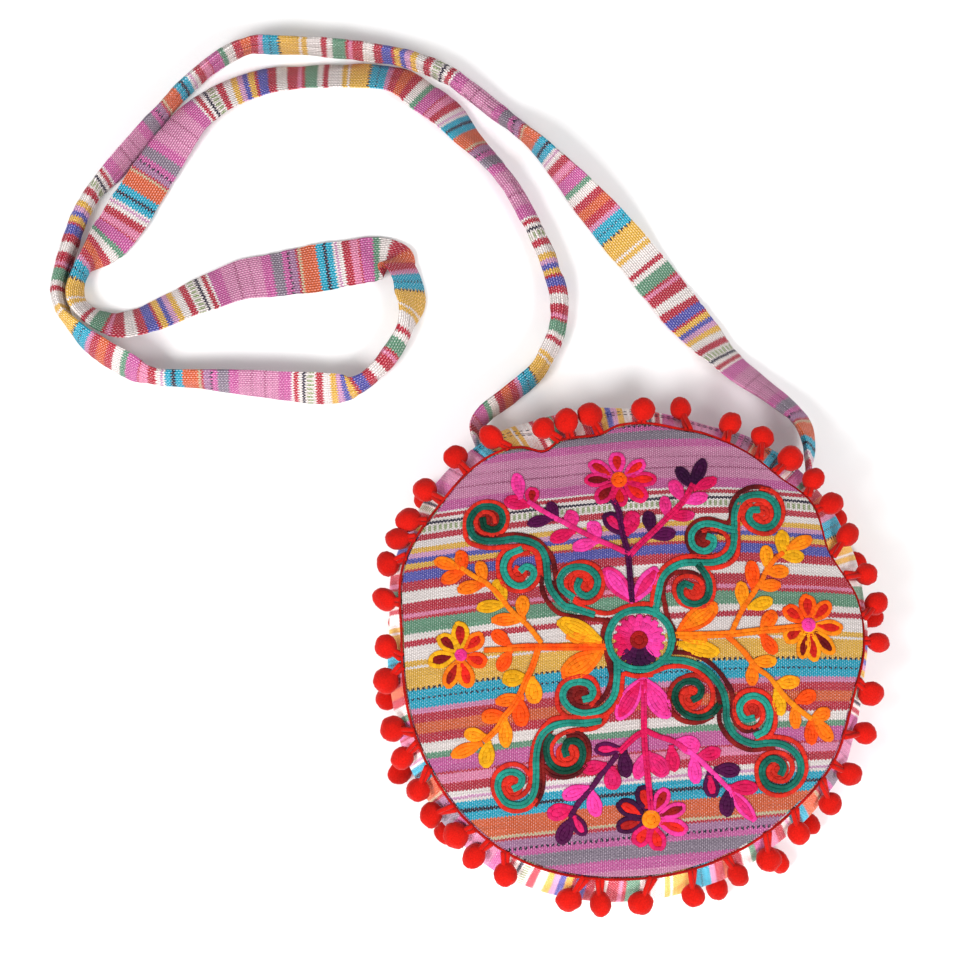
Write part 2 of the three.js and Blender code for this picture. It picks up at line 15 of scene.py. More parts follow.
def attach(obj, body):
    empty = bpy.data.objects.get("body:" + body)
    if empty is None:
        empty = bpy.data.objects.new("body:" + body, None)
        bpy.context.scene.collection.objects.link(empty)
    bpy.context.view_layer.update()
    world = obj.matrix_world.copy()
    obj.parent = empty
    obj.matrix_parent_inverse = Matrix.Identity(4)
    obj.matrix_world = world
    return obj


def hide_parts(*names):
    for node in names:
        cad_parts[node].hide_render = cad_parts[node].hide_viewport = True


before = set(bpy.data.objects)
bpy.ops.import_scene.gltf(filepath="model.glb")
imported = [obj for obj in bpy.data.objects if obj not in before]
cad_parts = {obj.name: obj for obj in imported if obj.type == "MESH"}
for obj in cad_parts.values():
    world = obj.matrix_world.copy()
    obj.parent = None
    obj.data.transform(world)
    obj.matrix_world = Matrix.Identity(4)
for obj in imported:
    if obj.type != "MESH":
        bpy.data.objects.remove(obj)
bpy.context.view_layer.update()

bl_info = {
    "name": "Striped Shoulder Bag",
    "version": (1, 0, 0),
    "blender": (4, 5, 0),
    "location": "3D View > Sidebar > Shoulder Bag",
    "description": "Dresses a round shoulder bag in woven stripes, embroidery and pompom trim",
    "category": "Object",
}

MM = 0.001
FULL_TURN = 360.0

# Seams and bands of the bag
SEAM_GAP = 0.35
DOME_POWER = 2.6
BRAID_OFFSET = 0.95
BACK_BRAID_HEIGHT = 1.45
ZIP_SLOT = 0.9
ZIP_PLACE = 0.3
ZIP_RIGHT_END = 46.5
ZIP_LEFT_END = 127.0
TOP_ANGLE = 90.0
BAND_END_CLEARANCE = 0.2

# The bag's plan outline: plan angle, then radius of the front seam,
# of the widest bulge and of the back seam
FRONT, BULGE, BACK = 1, 2, 3
OUTLINE = [
    (0, 109.5, 115.5, 105),
    (11, 109.6, 118, 105.5),
    (25, 104.4, 120.5, 106.5),
    (38, 110.3, 122, 107),
    (48, 107.8, 123, 108),
    (58, 108.2, 121, 107),
    (70, 107.2, 117.5, 106),
    (77, 105.8, 117.5, 106),
    (85, 106, 118, 106),
    (92, 104.6, 119, 106),
    (98, 101, 120, 106),
    (108, 102.3, 120.5, 106),
    (113.5, 100.4, 121.5, 106),
    (118, 106.4, 122.5, 106.5),
    (122, 109.6, 123.2, 107),
    (130, 111.5, 123.5, 108),
    (144, 111, 121.5, 107),
    (160, 112.5, 119.5, 106),
    (178, 106.5, 114.5, 104),
    (206, 108.5, 117.5, 105),
    (238, 111, 122, 107),
    (272, 106.5, 118.5, 106),
    (312, 105.8, 116, 105),
    (330, 107.5, 117.5, 105),
    (346, 106, 115, 104),
]

# The gusset's profile: share of the way from a seam out to the bulge, and height above the floor
UPPER_PROFILE = [(0.06, 45.0), (0.3, 40.5), (0.63, 33.5), (0.92, 26.5), (1.0, 21.0)]
LOWER_PROFILE = [(0.8, 16.0), (0.3, 11.0), (0.06, 3.0)]

# Soft dents in the front panel: plan angle, reach, depth and spread
DENTS = [(112, 92, 2.6, 14), (150, 84, 1.4, 22), (20, 80, 1.2, 24), (252, 88, 1.5, 24), (312, 76, 1.3, 26)]

# Pompoms on the front seam and those of the back seam that show: plan angle and reach
FRONT_POMPOMS = [
    (1, 118), (10, 120), (17, 119), (27, 118), (35, 119), (42, 120), (49, 120), (57, 121), (65, 119),
    (77, 119), (86, 114), (99, 113), (105, 112), (111, 112), (123, 120), (132, 123), (142, 123), (150, 121),
    (155, 121), (161, 121), (169, 118), (180, 115), (188, 116), (199, 118), (206, 119), (214, 120),
    (220, 122), (227, 120), (233, 122), (241, 121), (256, 121), (263, 120), (272, 119), (284, 119),
    (295, 117), (303, 118), (312, 117), (322, 119), (330, 119), (340, 118), (349, 116),
]
BACK_POMPOMS = [
    (8, 123), (21, 123), (32, 125), (142, 124), (191, 118),
    (208, 124), (225, 123), (291, 121), (306, 124), (317, 121),
]
TUCKED_SPACING = 15.0
TUCKED_CLEARANCE = 7.0
TUCKED_REACH = 7.6
POMPOM_SWAY = 3.0
SWAY_RATE = 0.11
POMPOM_REST = 0.3

# The strap's route from the left seam to the right: x, y, height of its middle, roll about its run and
# how far its cloth is gathered, from a flat strip at 0 to a roll at 1, or drawn wide under 0
STRAP_ROUTE = [
    (-71.9, 100.6, 20, -88, 0),
    (-70, 115, 17, -74, 0.3),
    (-40, 143, 12.5, -72, 0.45),
    (-31, 181, 12.5, -65, 0.7),
    (-54, 235, 12, -62, 0.65),
    (-79, 265.5, 9.5, -38, 0.2),
    (-97, 283, 8, -24, 0.1),
    (-121, 295, 9.5, -37, 0.1),
    (-178, 293, 8.5, -34, 0.1),
    (-212.8, 278.2, 6, -14, 0.34),
    (-235.5, 247.3, 5.5, 10, 0.12),
    (-255.5, 214, 5, 12, 0.05),
    (-271, 193, 12.5, 80, 0.55),
    (-273.2, 177, 12.5, 74, 0.5),
    (-262, 166.8, 10.5, 54, 0.3),
    (-243, 165.8, 8.5, 38, 0.1),
    (-196, 187, 4.5, 10, 0.1),
    (-150, 196, 2.5, 2, -0.15),
    (-120, 200, 4.5, 12, 0),
    (-110.5, 195, 10, 50, 0.05),
    (-105.5, 176.5, 9.8, 50, 0.06),
    (-112, 155.5, 13, 84, 0.8),
    (-128, 136, 13, 80, 0.7),
    (-146, 131, 11.5, 54, 0.15),
    (-205, 135.5, 12.5, 70, 0.35),
    (-230, 137.5, 12.5, 80, 0.65),
    (-243, 141, 13, 62, 0.25),
    (-267.6, 156.5, 13, 62, 0.3),
    (-281.4, 177.2, 13.5, 100, 0.55),
    (-277, 208, 14, 92, 0.7),
    (-269, 229.5, 13.5, 94, 0.7),
    (-253, 248.5, 12.4, 104, 0.2),
    (-221, 289.5, 13.5, 93, 0.5),
    (-195, 309, 14, 90, 0.5),
    (-176, 312, 13, 98, 0.4),
    (-126, 308.3, 12.5, 98, 0.45),
    (-92.5, 297.8, 15.5, 88, 0.8),
    (-65, 278.5, 13, 87, 0.9),
    (-38, 255, 13.5, 108, 0.4),
    (16, 193, 2.5, 180, 0.1),
    (36, 166, 4, 188, 0.12),
    (55, 143, 11, 220, 0.22),
    (88.5, 112.5, 18, 236, 0.4),
    (90.2, 83.1, 21.5, 272, 0),
]

STRAP_STEPS_PER_ROW = 14

# The cloth's stripes in the order they were woven: yarn, width, and the yarn between its dashes if any
STRIPES = [
    ("light_pink", 6.3, ""), ("rose", 0.6, ""), ("light_pink", 6.2, ""), ("rose", 0.6, ""),
    ("light_pink", 6.0, ""), ("orchid", 4.9, ""), ("grey", 5.6, ""), ("orchid", 2.4, ""),
    ("navy", 1.3, "orchid"), ("mauve", 3.2, ""), ("crimson", 1.0, ""), ("beige", 1.5, ""),
    ("orange", 8.0, ""), ("turquoise", 3.5, ""), ("navy", 1.6, ""), ("turquoise", 3.5, ""),
    ("white", 1.1, ""), ("lilac", 1.0, ""), ("white", 2.5, ""), ("crimson", 4.2, ""),
    ("pink", 3.9, ""), ("crimson", 1.0, ""), ("orchid", 6.3, ""), ("sage", 2.8, ""),
    ("white", 4.6, ""), ("crimson", 4.0, ""), ("orange", 5.0, ""), ("crimson", 4.0, ""),
    ("light_pink", 2.5, ""), ("turquoise", 3.5, ""), ("navy", 1.0, "turquoise"), ("turquoise", 3.5, ""),
    ("navy", 1.0, "mustard"), ("mustard", 9.3, ""), ("white", 1.2, ""), ("mustard", 2.9, ""),
    ("white", 7.0, ""), ("crimson", 3.0, ""), ("white", 2.7, ""), ("sage", 6.5, ""),
    ("crimson", 1.6, ""), ("pink", 2.2, ""), ("crimson", 5.4, ""), ("white", 5.4, ""),
    ("crimson", 4.6, ""), ("blue", 5.1, ""), ("crimson", 1.4, ""), ("mustard", 3.4, ""),
    ("blue", 2.7, ""), ("lilac", 2.8, ""), ("mustard", 3.0, ""), ("white", 4.1, ""),
    ("crimson", 3.4, ""), ("white", 1.2, ""), ("olive", 3.0, "white"), ("white", 1.0, ""),
    ("navy", 1.6, ""), ("white", 1.9, ""), ("crimson", 2.4, ""), ("white", 1.0, ""), ("orchid", 6.6, ""),
]

# How the stripes lie: on the front panel by height up the panel, on the sides by plan angle
PANEL_STRIPES = [
    (-125, -0.5), (-69, 51.9), (-14.6, 103.1), (-9.7, 107.6), (11.4, 130), (19.5, 137.4),
    (28.2, 147.2), (43.5, 162.4), (67.8, 191.8), (99.3, 231.9), (125, 262),
]
PANEL_STRIPE_SLOPE = 0.085
PANEL_STRIPE_BOW = 0.00022
PANEL_RIGHT_DROP = 0.00032
PANEL_RIGHT_DROP_RATE = 0.0000065
ZIP_STRIPES = [(46.5, 266), (55.7, 248), (63, 232), (73.3, 214), (96, 167), (119, 114.7), (127.5, 103)]
SIDE_STRIPES = [
    (127, 226), (145.3, 188.5), (180, 111), (206, 62.5), (238, -2.5), (270, -66), (281, -89),
    (287.2, -101.5), (315, -152.5), (325, -171.5), (333, -190), (390.5, -306), (406.5, -339),
]
STRAP_STRIPES = [
    (0, 57), (60, 118), (110, 171), (200, 257.7), (430, 488.5), (480, 545.5), (800, 865), (880, 942.5),
    (950, 1014.5), (1080, 1142.3), (1180, 1240), (1280, 1337.6), (1440, 1497),
]

# Camera, also the line of sight along which the embroidery chart was read
CAMERA_PLACE = (-70.45, -79.97, 986.0)
CAMERA_TILT = 9.6
CAMERA_LENS = 75.0
CAMERA_SENSOR = 36.0
CHART_SIDE = 960.0
CHART_UNIT = 0.466

# Embroidery threads: light and dark end of each thread's dye
THREADS = {
    "red": ("thread_red", "thread_maroon"),
    "teal": ("thread_teal", "thread_green"),
    "pink": ("thread_pink", "thread_magenta"),
    "purple": ("thread_purple", "thread_plum"),
    "orange": ("thread_amber", "thread_orange"),
    "yellow": ("thread_yellow", "thread_gold"),
    "poppy": ("thread_poppy", "thread_wine"),
}
ROW_WIDTH = 1.7
ROW_OVERLAP = 1.18

# Scrolls and stems on the embroidery chart: thread, dye at the start and end, width, chart points
LIGHT_RED = ("red", 0.05, 0.1, 4.4)
DARK_RED = ("red", 0.9, 0.9, 4.4)
SCROLLS = [
    # Ring round the middle flower
    ("teal", 0.2, 0.2, 6.8, [
        (672, 639.5), (669, 627), (661, 617), (650, 611), (640, 610), (629, 611), (618, 617), (611, 627),
        (608, 639.5), (611, 652), (618, 662), (629, 668), (640, 669.5), (651, 668), (662, 661), (669, 652),
        (672, 639.5),
    ]),
    (*DARK_RED, [(607, 621), (603, 633), (604, 644), (608, 660), (611, 673)]),
    (*DARK_RED, [(665, 606), (668, 618), (674, 630), (677, 642), (673, 652)]),
    # Upper left scroll
    ("teal", 0.25, 1.0, 6.8, [
        (592, 614), (573, 608), (565, 606), (556, 597), (549, 585), (547, 570), (546, 560), (543, 552),
        (538, 546), (528, 541), (515, 539), (500, 541), (485, 541), (475, 537), (470, 528), (471, 518),
        (480, 508), (492, 507), (500, 511), (503, 519), (500, 527), (493, 530), (485, 527), (483, 520),
    ]),
    (*DARK_RED, [
        (475, 534), (483, 537), (495, 537), (507, 535), (520, 535), (537, 540), (548, 551), (553, 560),
        (555, 572), (556, 583),
    ]),
    ("red", 0.95, 0.95, 7, [(555, 583), (559, 594), (566, 605)]),
    (*DARK_RED, [
        (541, 575), (542, 588), (545, 597), (551, 606), (559, 613), (570, 616), (585, 618), (603, 620),
    ]),
    (*LIGHT_RED, [
        (541, 575), (540, 563), (538, 554), (532, 549), (520, 546), (505, 547), (490, 548), (478, 546),
        (468, 541), (465, 530), (466, 517), (472, 508), (481, 503), (492, 502), (502, 506), (507, 514),
        (507, 523), (502, 532), (492, 535), (481, 532), (476, 524), (478, 517), (485, 512), (493, 515),
        (495, 521),
    ]),
    ("teal", 0.0, 0.0, 6.8, [
        (520, 550), (509, 555), (504, 564), (504, 572), (509, 581), (517, 586), (525, 585), (532, 579),
        (534, 573), (531, 568), (526, 567), (522, 570),
    ]),
    (*LIGHT_RED, [
        (538, 556), (532, 550), (520, 546), (507, 549), (499, 558), (498, 570), (501, 581), (509, 589),
        (520, 591), (531, 588), (538, 579), (539, 568), (537, 558),
    ]),
    (*LIGHT_RED, [
        (527, 553), (518, 555), (511, 562), (510, 571), (515, 578), (522, 578), (526, 573), (517, 568),
    ]),
    ("teal", 0.3, 0.5, 6.8, [
        (571.5, 596.5), (563, 590), (560, 583), (561, 576), (568, 569), (580, 567), (590, 570), (597, 578),
        (597, 586), (594, 592), (587, 596), (580, 593), (577, 587), (579, 581),
    ]),
    (*LIGHT_RED, [
        (558, 577), (563, 569), (572, 564), (584, 562), (595, 566), (602, 575), (603, 586), (599, 596),
        (591, 602), (581, 602), (573, 597), (567, 590), (566, 582), (570, 576), (579, 572), (588, 575),
        (592, 583), (587, 590), (584, 584),
    ]),
    (*LIGHT_RED, [
        (576, 602), (585, 608), (597, 612), (610, 613), (625, 607), (640, 604), (652, 604),
    ]),
    # Upper right scroll
    ("teal", 0.2, 0.4, 6.8, [
        (656, 614), (656, 605), (659, 590), (661, 581), (666, 573), (674, 567), (685, 563), (704, 563),
        (715, 562), (726, 557), (732, 549), (734, 540), (734, 528), (734, 515), (736, 507), (741, 500),
        (749, 496), (760, 495), (770, 499), (776, 507), (777, 517), (772, 525), (763, 528), (754, 525),
        (749, 518), (751, 511), (757, 510),
    ]),
    (*LIGHT_RED, [
        (652, 604), (654, 588), (660, 573), (668, 564), (680, 558), (694, 556), (710, 557), (720, 554),
        (727, 547), (728, 539), (722, 532), (712, 529), (704, 531),
    ]),
    (*LIGHT_RED, [
        (739, 500), (738, 518), (738, 535), (738, 549), (735, 558), (726, 565), (713, 568), (703, 568),
        (711, 576), (714, 588), (711, 600), (702, 607), (690, 607), (679, 601), (674, 590), (677, 580),
        (686, 576), (697, 578), (703, 587), (700, 596), (691, 597), (687, 592),
    ]),
    (*DARK_RED, [
        (768, 489), (757, 487), (746, 489), (736, 496), (731, 507), (731, 517), (727, 523), (718, 521),
        (708, 519), (697, 521), (689, 529), (687, 539), (690, 549), (697, 555), (706, 556),
    ]),
    (*LIGHT_RED, [
        (739, 515), (745, 503), (755, 500), (765, 502), (771, 510), (770, 519), (763, 523), (757, 518),
    ]),
    (*LIGHT_RED, [
        (762, 489), (773, 492), (781, 502), (783, 514), (779, 525), (770, 533), (759, 533), (749, 528),
        (743, 520), (744, 511), (750, 505),
    ]),
    ("teal", 0.0, 0.0, 6.8, [
        (733, 530), (724, 528), (715, 525), (705, 524), (697, 527), (692, 533), (691, 540), (694, 547),
        (701, 551), (708, 550), (713, 545), (713, 539), (709, 537),
    ]),
    ("red", 0.95, 0.8, 7, [
        (722, 532), (712, 529), (703, 530), (697, 536), (697, 543), (703, 547), (709, 543),
    ]),
    ("teal", 0.8, 0.6, 6.8, [
        (699, 566), (705, 574), (709, 583), (709, 592), (705, 600), (697, 604), (688, 603), (681, 597),
        (680, 589), (684, 584), (690, 586),
    ]),
    (*DARK_RED, [
        (665, 605), (663, 593), (665, 582), (672, 574), (684, 572), (695, 574), (703, 581),
    ]),
    # Lower left scroll
    ("teal", 0.1, 0.0, 6.8, [
        (617, 663), (617, 675), (616, 686), (614, 695), (609, 703), (602, 709), (593, 712), (583, 713),
        (573, 710), (567, 705), (563, 698), (564, 690), (570, 684), (579, 682), (588, 684), (593, 690),
        (591, 697), (585, 699),
    ]),
    ("red", 0.95, 0.8, 4.4, [
        (605, 640), (609, 655), (611, 668), (611, 680), (607, 692), (600, 701), (592, 706), (582, 707),
        (574, 703), (570, 696), (572, 689), (579, 685), (585, 688), (583, 694), (577, 698),
    ]),
    (*LIGHT_RED, [
        (650, 675), (636, 676), (624, 674), (622, 683), (621, 693), (616, 704), (607, 714), (595, 717),
        (580, 717), (568, 717), (559, 709), (557, 698), (560, 686), (568, 679), (580, 676), (591, 678),
        (597, 686), (598, 696), (592, 704),
    ]),
    ("teal", 0.3, 0.1, 6.8, [
        (599, 721), (584, 723), (567, 723), (554, 726), (546, 731), (540, 739), (537, 750), (536, 762),
        (536, 775), (535, 789), (531, 798), (524, 804), (515, 805), (506, 802), (500, 794), (498, 785),
        (501, 776), (509, 772), (517, 773), (522, 778), (520, 785), (515, 788),
    ]),
    (*LIGHT_RED, [
        (606, 716), (590, 717), (570, 717), (553, 719), (544, 727), (536, 739), (533, 750), (531, 764),
        (531, 779), (527, 790), (519, 797), (510, 797), (504, 789), (505, 781), (511, 777), (516, 781),
    ]),
    (*LIGHT_RED, [
        (529, 774), (523, 767), (513, 764), (503, 767), (495, 775), (493, 787), (497, 799), (505, 808),
        (516, 811), (528, 808), (536, 800),
    ]),
    ("red", 0.95, 0.9, 7, [
        (549, 731), (543, 739), (541, 750), (541, 765), (542, 780), (540, 793), (535, 803),
    ]),
    (*LIGHT_RED, [
        (607, 716), (602, 724), (590, 729), (575, 730), (562, 734), (554, 741), (551, 750), (554, 759),
        (562, 764), (571, 763), (577, 757), (576, 749), (571, 746),
    ]),
    ("teal", 0.95, 0.95, 6.8, [
        (551, 737), (547, 744), (547, 754), (551, 764), (560, 770), (570, 770), (579, 765), (583, 755),
        (581, 745), (575, 741), (568, 742), (565, 749), (566, 754),
    ]),
    ("red", 0.85, 0.9, 7, [
        (569, 735), (578, 734), (586, 741), (588, 752), (585, 763), (577, 772), (565, 776), (553, 774),
        (545, 768),
    ]),
    # Lower right scroll
    ("teal", 0.4, 0.7, 6.8, [
        (662, 660), (673, 660), (684, 661), (694, 664), (704, 669), (713, 677), (720, 686), (724, 695),
        (726, 706), (726, 715), (728, 724), (733, 733), (742, 740), (754, 744), (765, 743), (776, 743),
        (786, 746), (795, 753), (800, 762), (800, 773), (795, 782), (786, 788), (776, 788), (767, 784),
        (762, 775), (763, 766), (770, 759), (778, 760), (783, 766), (781, 773),
    ]),
    (*LIGHT_RED, [
        (758, 740), (766, 737), (779, 737), (791, 740), (800, 747), (805, 758), (806, 770), (802, 781),
        (794, 790), (783, 795), (771, 794), (761, 787), (757, 776), (757, 765), (763, 756), (773, 752),
        (784, 754), (791, 761), (792, 771), (786, 780), (777, 781), (769, 776), (769, 768), (774, 764),
    ]),
    ("red", 0.95, 0.9, 4.4, [
        (672, 652), (686, 653), (700, 657), (711, 664), (720, 673), (727, 683), (732, 693), (733, 705),
        (733, 716), (738, 726), (746, 731), (755, 729),
    ]),
    (*DARK_RED, [
        (718, 690), (719, 700), (719, 712), (720, 723), (725, 733), (732, 741), (741, 747), (751, 750),
        (762, 749), (772, 748),
    ]),
    (*LIGHT_RED, [
        (645, 675), (656, 671), (667, 667), (680, 666), (691, 668), (702, 675), (710, 684), (713, 694),
        (711, 704), (704, 711), (694, 713), (685, 708), (681, 699), (684, 691), (690, 688),
    ]),
    ("teal", 0.95, 0.9, 6.8, [
        (718, 706), (712, 713), (702, 717), (690, 716), (680, 709), (675, 699), (676, 690), (682, 683),
        (690, 681), (697, 683), (701, 689), (699, 696), (694, 699),
    ]),
    ("red", 0.5, 0.9, 4.4, [
        (704, 680), (694, 675), (682, 678), (673, 685), (669, 696), (670, 707), (677, 717), (688, 722),
        (700, 722), (711, 717),
    ]),
    ("teal", 0.0, 0.0, 6.8, [
        (757, 735), (765, 730), (769, 720), (769, 710), (764, 701), (755, 696), (746, 698), (740, 705),
        (740, 713), (745, 719), (752, 718),
    ]),
    (*LIGHT_RED, [
        (768, 737), (774, 728), (775, 714), (771, 700), (762, 692), (750, 690), (740, 694), (734, 704),
        (735, 716), (741, 725), (751, 728), (760, 723), (763, 713), (759, 704), (751, 701), (745, 706),
        (748, 713),
    ]),
    # Stems of the upper sprays
    ("purple", 0.2, 0.8, 6, [
        (614, 502), (619, 512), (621, 525), (624, 539), (628, 553), (629, 564), (630, 576), (631, 590),
        (632, 600),
    ]),
    ("pink", 0.8, 0.4, 5, [
        (627, 553), (612, 546), (600, 541), (588, 535), (576, 529), (565, 523), (553, 517), (541, 510),
        (530, 503),
    ]),
    ("pink", 1.0, 1.0, 6, [
        (630, 555), (640, 544), (651, 534), (661, 524), (669, 516), (678, 507), (685, 499), (692, 486),
    ]),
    # Stems of the lower sprays
    ("pink", 1.0, 1.0, 6, [
        (644, 682), (644, 700), (644, 730), (645, 750), (647, 770), (650, 800), (651, 811),
    ]),
    ("pink", 1.0, 1.0, 6, [(643, 732), (636, 736), (629, 742), (621, 750)]),
    ("purple", 0.2, 0.5, 5, [(616, 756), (610, 764), (600, 776), (590, 790), (580, 801), (571, 815)]),
    ("pink", 1.0, 0.8, 5, [(647, 731), (658, 736), (673, 741), (684, 748)]),
    ("pink", 0.1, 0.1, 5, [(690, 752), (700, 760), (709, 769), (718, 778), (728, 788)]),
    # Stems of the left sprays
    ("orange", 1.0, 0.9, 7, [(603, 647), (580, 647), (555, 647), (530, 647), (510, 648)]),
    ("orange", 0.7, 0.7, 5, [(510, 649), (487, 650)]),
    ("orange", 0.6, 0.4, 5, [
        (540, 641), (530, 628), (523, 621), (516, 615), (508, 607), (500, 596), (486, 583), (475, 577),
        (463, 569),
    ]),
    ("orange", 0.9, 0.5, 6, [
        (538, 649), (535, 659), (531, 670), (526, 680), (522, 690), (517, 700), (511, 709), (504, 717),
        (499, 726), (493, 733), (486, 740),
    ]),
    # Stems of the right sprays
    ("orange", 0.35, 0.8, 7, [(678, 635), (699, 635), (730, 634), (757, 631), (780, 629), (800, 627)]),
    ("orange", 0.5, 0.8, 5, [
        (730, 636), (733, 629), (737, 620), (742, 610), (747, 602), (752, 595), (757, 587), (762, 580),
        (765, 573), (770, 565), (775, 559), (781, 554),
    ]),
    ("orange", 0.7, 0.2, 5, [
        (727, 636), (735, 643), (744, 652), (750, 660), (758, 669), (768, 676), (777, 687), (786, 698),
        (797, 708), (810, 718),
    ]),
]

# Red that fills the middles of the spirals: middle, radius and dye
SPIRAL_FILLS = [
    ((487, 519), 13, 0.6), ((518, 576), 8, 0.1), ((581, 583), 13, 0.1), ((762, 513), 12, 0.1),
    ((704, 538), 9, 0.85), ((693, 592), 10, 0.15), ((580, 695), 9, 0.85), ((512, 786), 11, 0.05),
    ((567, 754), 11, 0.1), ((690, 698), 12, 0.1), ((752, 710), 10, 0.4), ((778, 769), 11, 0.2),
]

# Leaves on the chart: thread, dye, base, tip, width, then the thread and dye inside if they differ
LEAVES = [
    # Upper left spray
    ("purple", 0.3, (554, 518), (527, 524), 12),
    ("purple", 0.3, (557, 519), (549, 502), 12),
    ("pink", 0.5, (572, 530), (571, 510), 15),
    ("pink", 1.0, (575, 531), (550, 540), 14),
    ("pink", 0.1, (599, 540), (591, 521), 15),
    ("pink", 0.1, (599, 541), (572, 548), 13),
    ("pink", 0.2, (521, 500), (516, 473), 14),
    ("pink", 0.9, (531, 505), (533, 487), 14, "poppy", 0.7),
    ("pink", 1.0, (530, 506), (504, 500), 15),
    # Heart leaves of the middle stem
    ("purple", 0.6, (624, 535), (605, 513), 18, "pink", 1.0),
    ("pink", 1.0, (626, 536), (635, 511), 17),
    # Upper right spray
    ("purple", 0.8, (651, 533), (648, 511), 14),
    ("purple", 0.3, (649, 536), (676, 533), 14),
    ("pink", 0.5, (667, 517), (664, 496), 12),
    ("pink", 0.9, (668, 517), (695, 515), 12),
    ("pink", 0.6, (683, 501), (671, 480), 14),
    ("pink", 0.2, (683, 502), (708, 496), 13),
    ("pink", 1.0, (693, 489), (717, 479), 12),
    ("purple", 0.9, (692, 488), (677, 467), 13),
    ("purple", 0.9, (692, 488), (704, 459), 14),
    # Upper and lower tulips
    ("pink", 0.7, (634, 604), (604, 567), 20, "pink", 0.0),
    ("pink", 0.1, (631, 604), (658, 567), 18, "pink", 1.0),
    ("pink", 0.1, (643, 677), (617, 720), 20, "pink", 1.0),
    ("pink", 0.1, (643, 677), (669, 719), 22, "pink", 0.4),
    # Lower left spray
    ("purple", 0.3, (622, 749), (594, 749), 14, "pink", 1.0),
    ("purple", 0.6, (624, 750), (626, 778), 15),
    ("pink", 1.0, (607, 764), (582, 770), 14),
    ("pink", 0.9, (612, 766), (613, 790), 17),
    ("pink", 0.1, (590, 787), (562, 797), 15),
    ("pink", 0.1, (591, 789), (597, 817), 15),
    ("pink", 0.9, (574, 808), (547, 815), 17),
    ("purple", 0.5, (571, 812), (585, 836), 14, "pink", 1.0),
    ("purple", 0.4, (572, 818), (559, 844), 16),
    ("pink", 0.5, (646, 752), (636, 779), 14),
    # Lower right spray
    ("pink", 0.8, (647, 752), (667, 776), 19),
    ("pink", 1.0, (671, 745), (674, 772), 14),
    ("pink", 0.2, (675, 741), (700, 748), 19),
    ("pink", 0.2, (693, 755), (696, 784), 14),
    ("pink", 0.9, (696, 757), (721, 751), 14),
    ("purple", 0.4, (714, 769), (740, 771), 15),
    ("purple", 0.4, (709, 771), (713, 798), 16, "pink", 1.0),
    ("pink", 1.0, (728, 787), (758, 788), 15),
    ("purple", 0.6, (728, 789), (726, 817), 15),
    ("pink", 0.1, (727, 786), (755, 821), 14, "pink", 0.7),
    # Left tulip and spray
    ("yellow", 0.5, (604, 642), (557, 620), 20, "yellow", 0.2),
    ("orange", 0.5, (604, 643), (566, 636), 13),
    ("orange", 0.7, (604, 650), (561, 677), 24, "orange", 0.55),
    ("orange", 1.0, (511, 646), (492, 631), 14),
    ("orange", 1.0, (511, 650), (499, 671), 14),
    ("orange", 0.5, (522, 619), (523, 595), 14),
    ("orange", 0.6, (526, 619), (491, 620), 13),
    ("yellow", 0.4, (505, 604), (496, 579), 15),
    ("yellow", 0.6, (507, 604), (476, 608), 13),
    ("orange", 0.6, (485, 582), (479, 561), 13),
    ("orange", 0.8, (485, 584), (457, 590), 14),
    ("orange", 1.0, (464, 572), (460, 550), 14),
    ("orange", 0.6, (460, 568), (434, 560), 13),
    ("orange", 0.9, (465, 572), (441, 581), 14),
    ("yellow", 0.8, (527, 677), (502, 679), 17),
    ("orange", 0.1, (532, 676), (535, 704), 17),
    ("orange", 0.6, (524, 697), (495, 702), 13),
    ("orange", 1.0, (519, 697), (522, 727), 17),
    ("orange", 0.9, (506, 715), (481, 717), 15),
    ("orange", 0.3, (505, 717), (506, 748), 14),
    ("orange", 0.1, (487, 737), (464, 733), 14),
    ("orange", 0.5, (483, 743), (451, 756), 14),
    ("yellow", 0.6, (489, 740), (485, 768), 16),
    # Right tulip and spray
    ("orange", 0.8, (676, 633), (718, 604), 22, "orange", 0.5),
    ("yellow", 0.2, (676, 643), (720, 653), 17, "yellow", 0.5),
    ("orange", 0.3, (676, 636), (708, 641), 11),
    ("orange", 0.8, (761, 631), (775, 611), 15),
    ("orange", 1.0, (761, 633), (776, 654), 14),
    ("orange", 0.2, (743, 608), (741, 581), 14),
    ("yellow", 0.3, (747, 608), (773, 600), 14),
    ("orange", 1.0, (754, 591), (751, 560), 15),
    ("orange", 0.7, (756, 586), (781, 585), 13),
    ("orange", 0.2, (767, 569), (766, 545), 14),
    ("orange", 0.5, (765, 572), (789, 571), 14),
    ("yellow", 0.4, (781, 555), (783, 530), 15),
    ("orange", 0.4, (786, 549), (812, 538), 14),
    ("yellow", 0.2, (780, 555), (804, 557), 14),
    ("orange", 0.2, (751, 662), (777, 661), 13),
    ("orange", 0.6, (752, 662), (752, 686), 13),
    ("orange", 0.1, (774, 684), (800, 681), 14),
    ("yellow", 0.2, (776, 688), (781, 716), 14),
    ("orange", 1.0, (795, 702), (816, 693), 15),
    ("orange", 0.4, (794, 704), (796, 729), 12),
    ("orange", 0.6, (811, 719), (830, 711), 14),
    ("orange", 0.9, (811, 718), (811, 745), 14),
    ("orange", 0.7, (813, 718), (832, 741), 15),
]

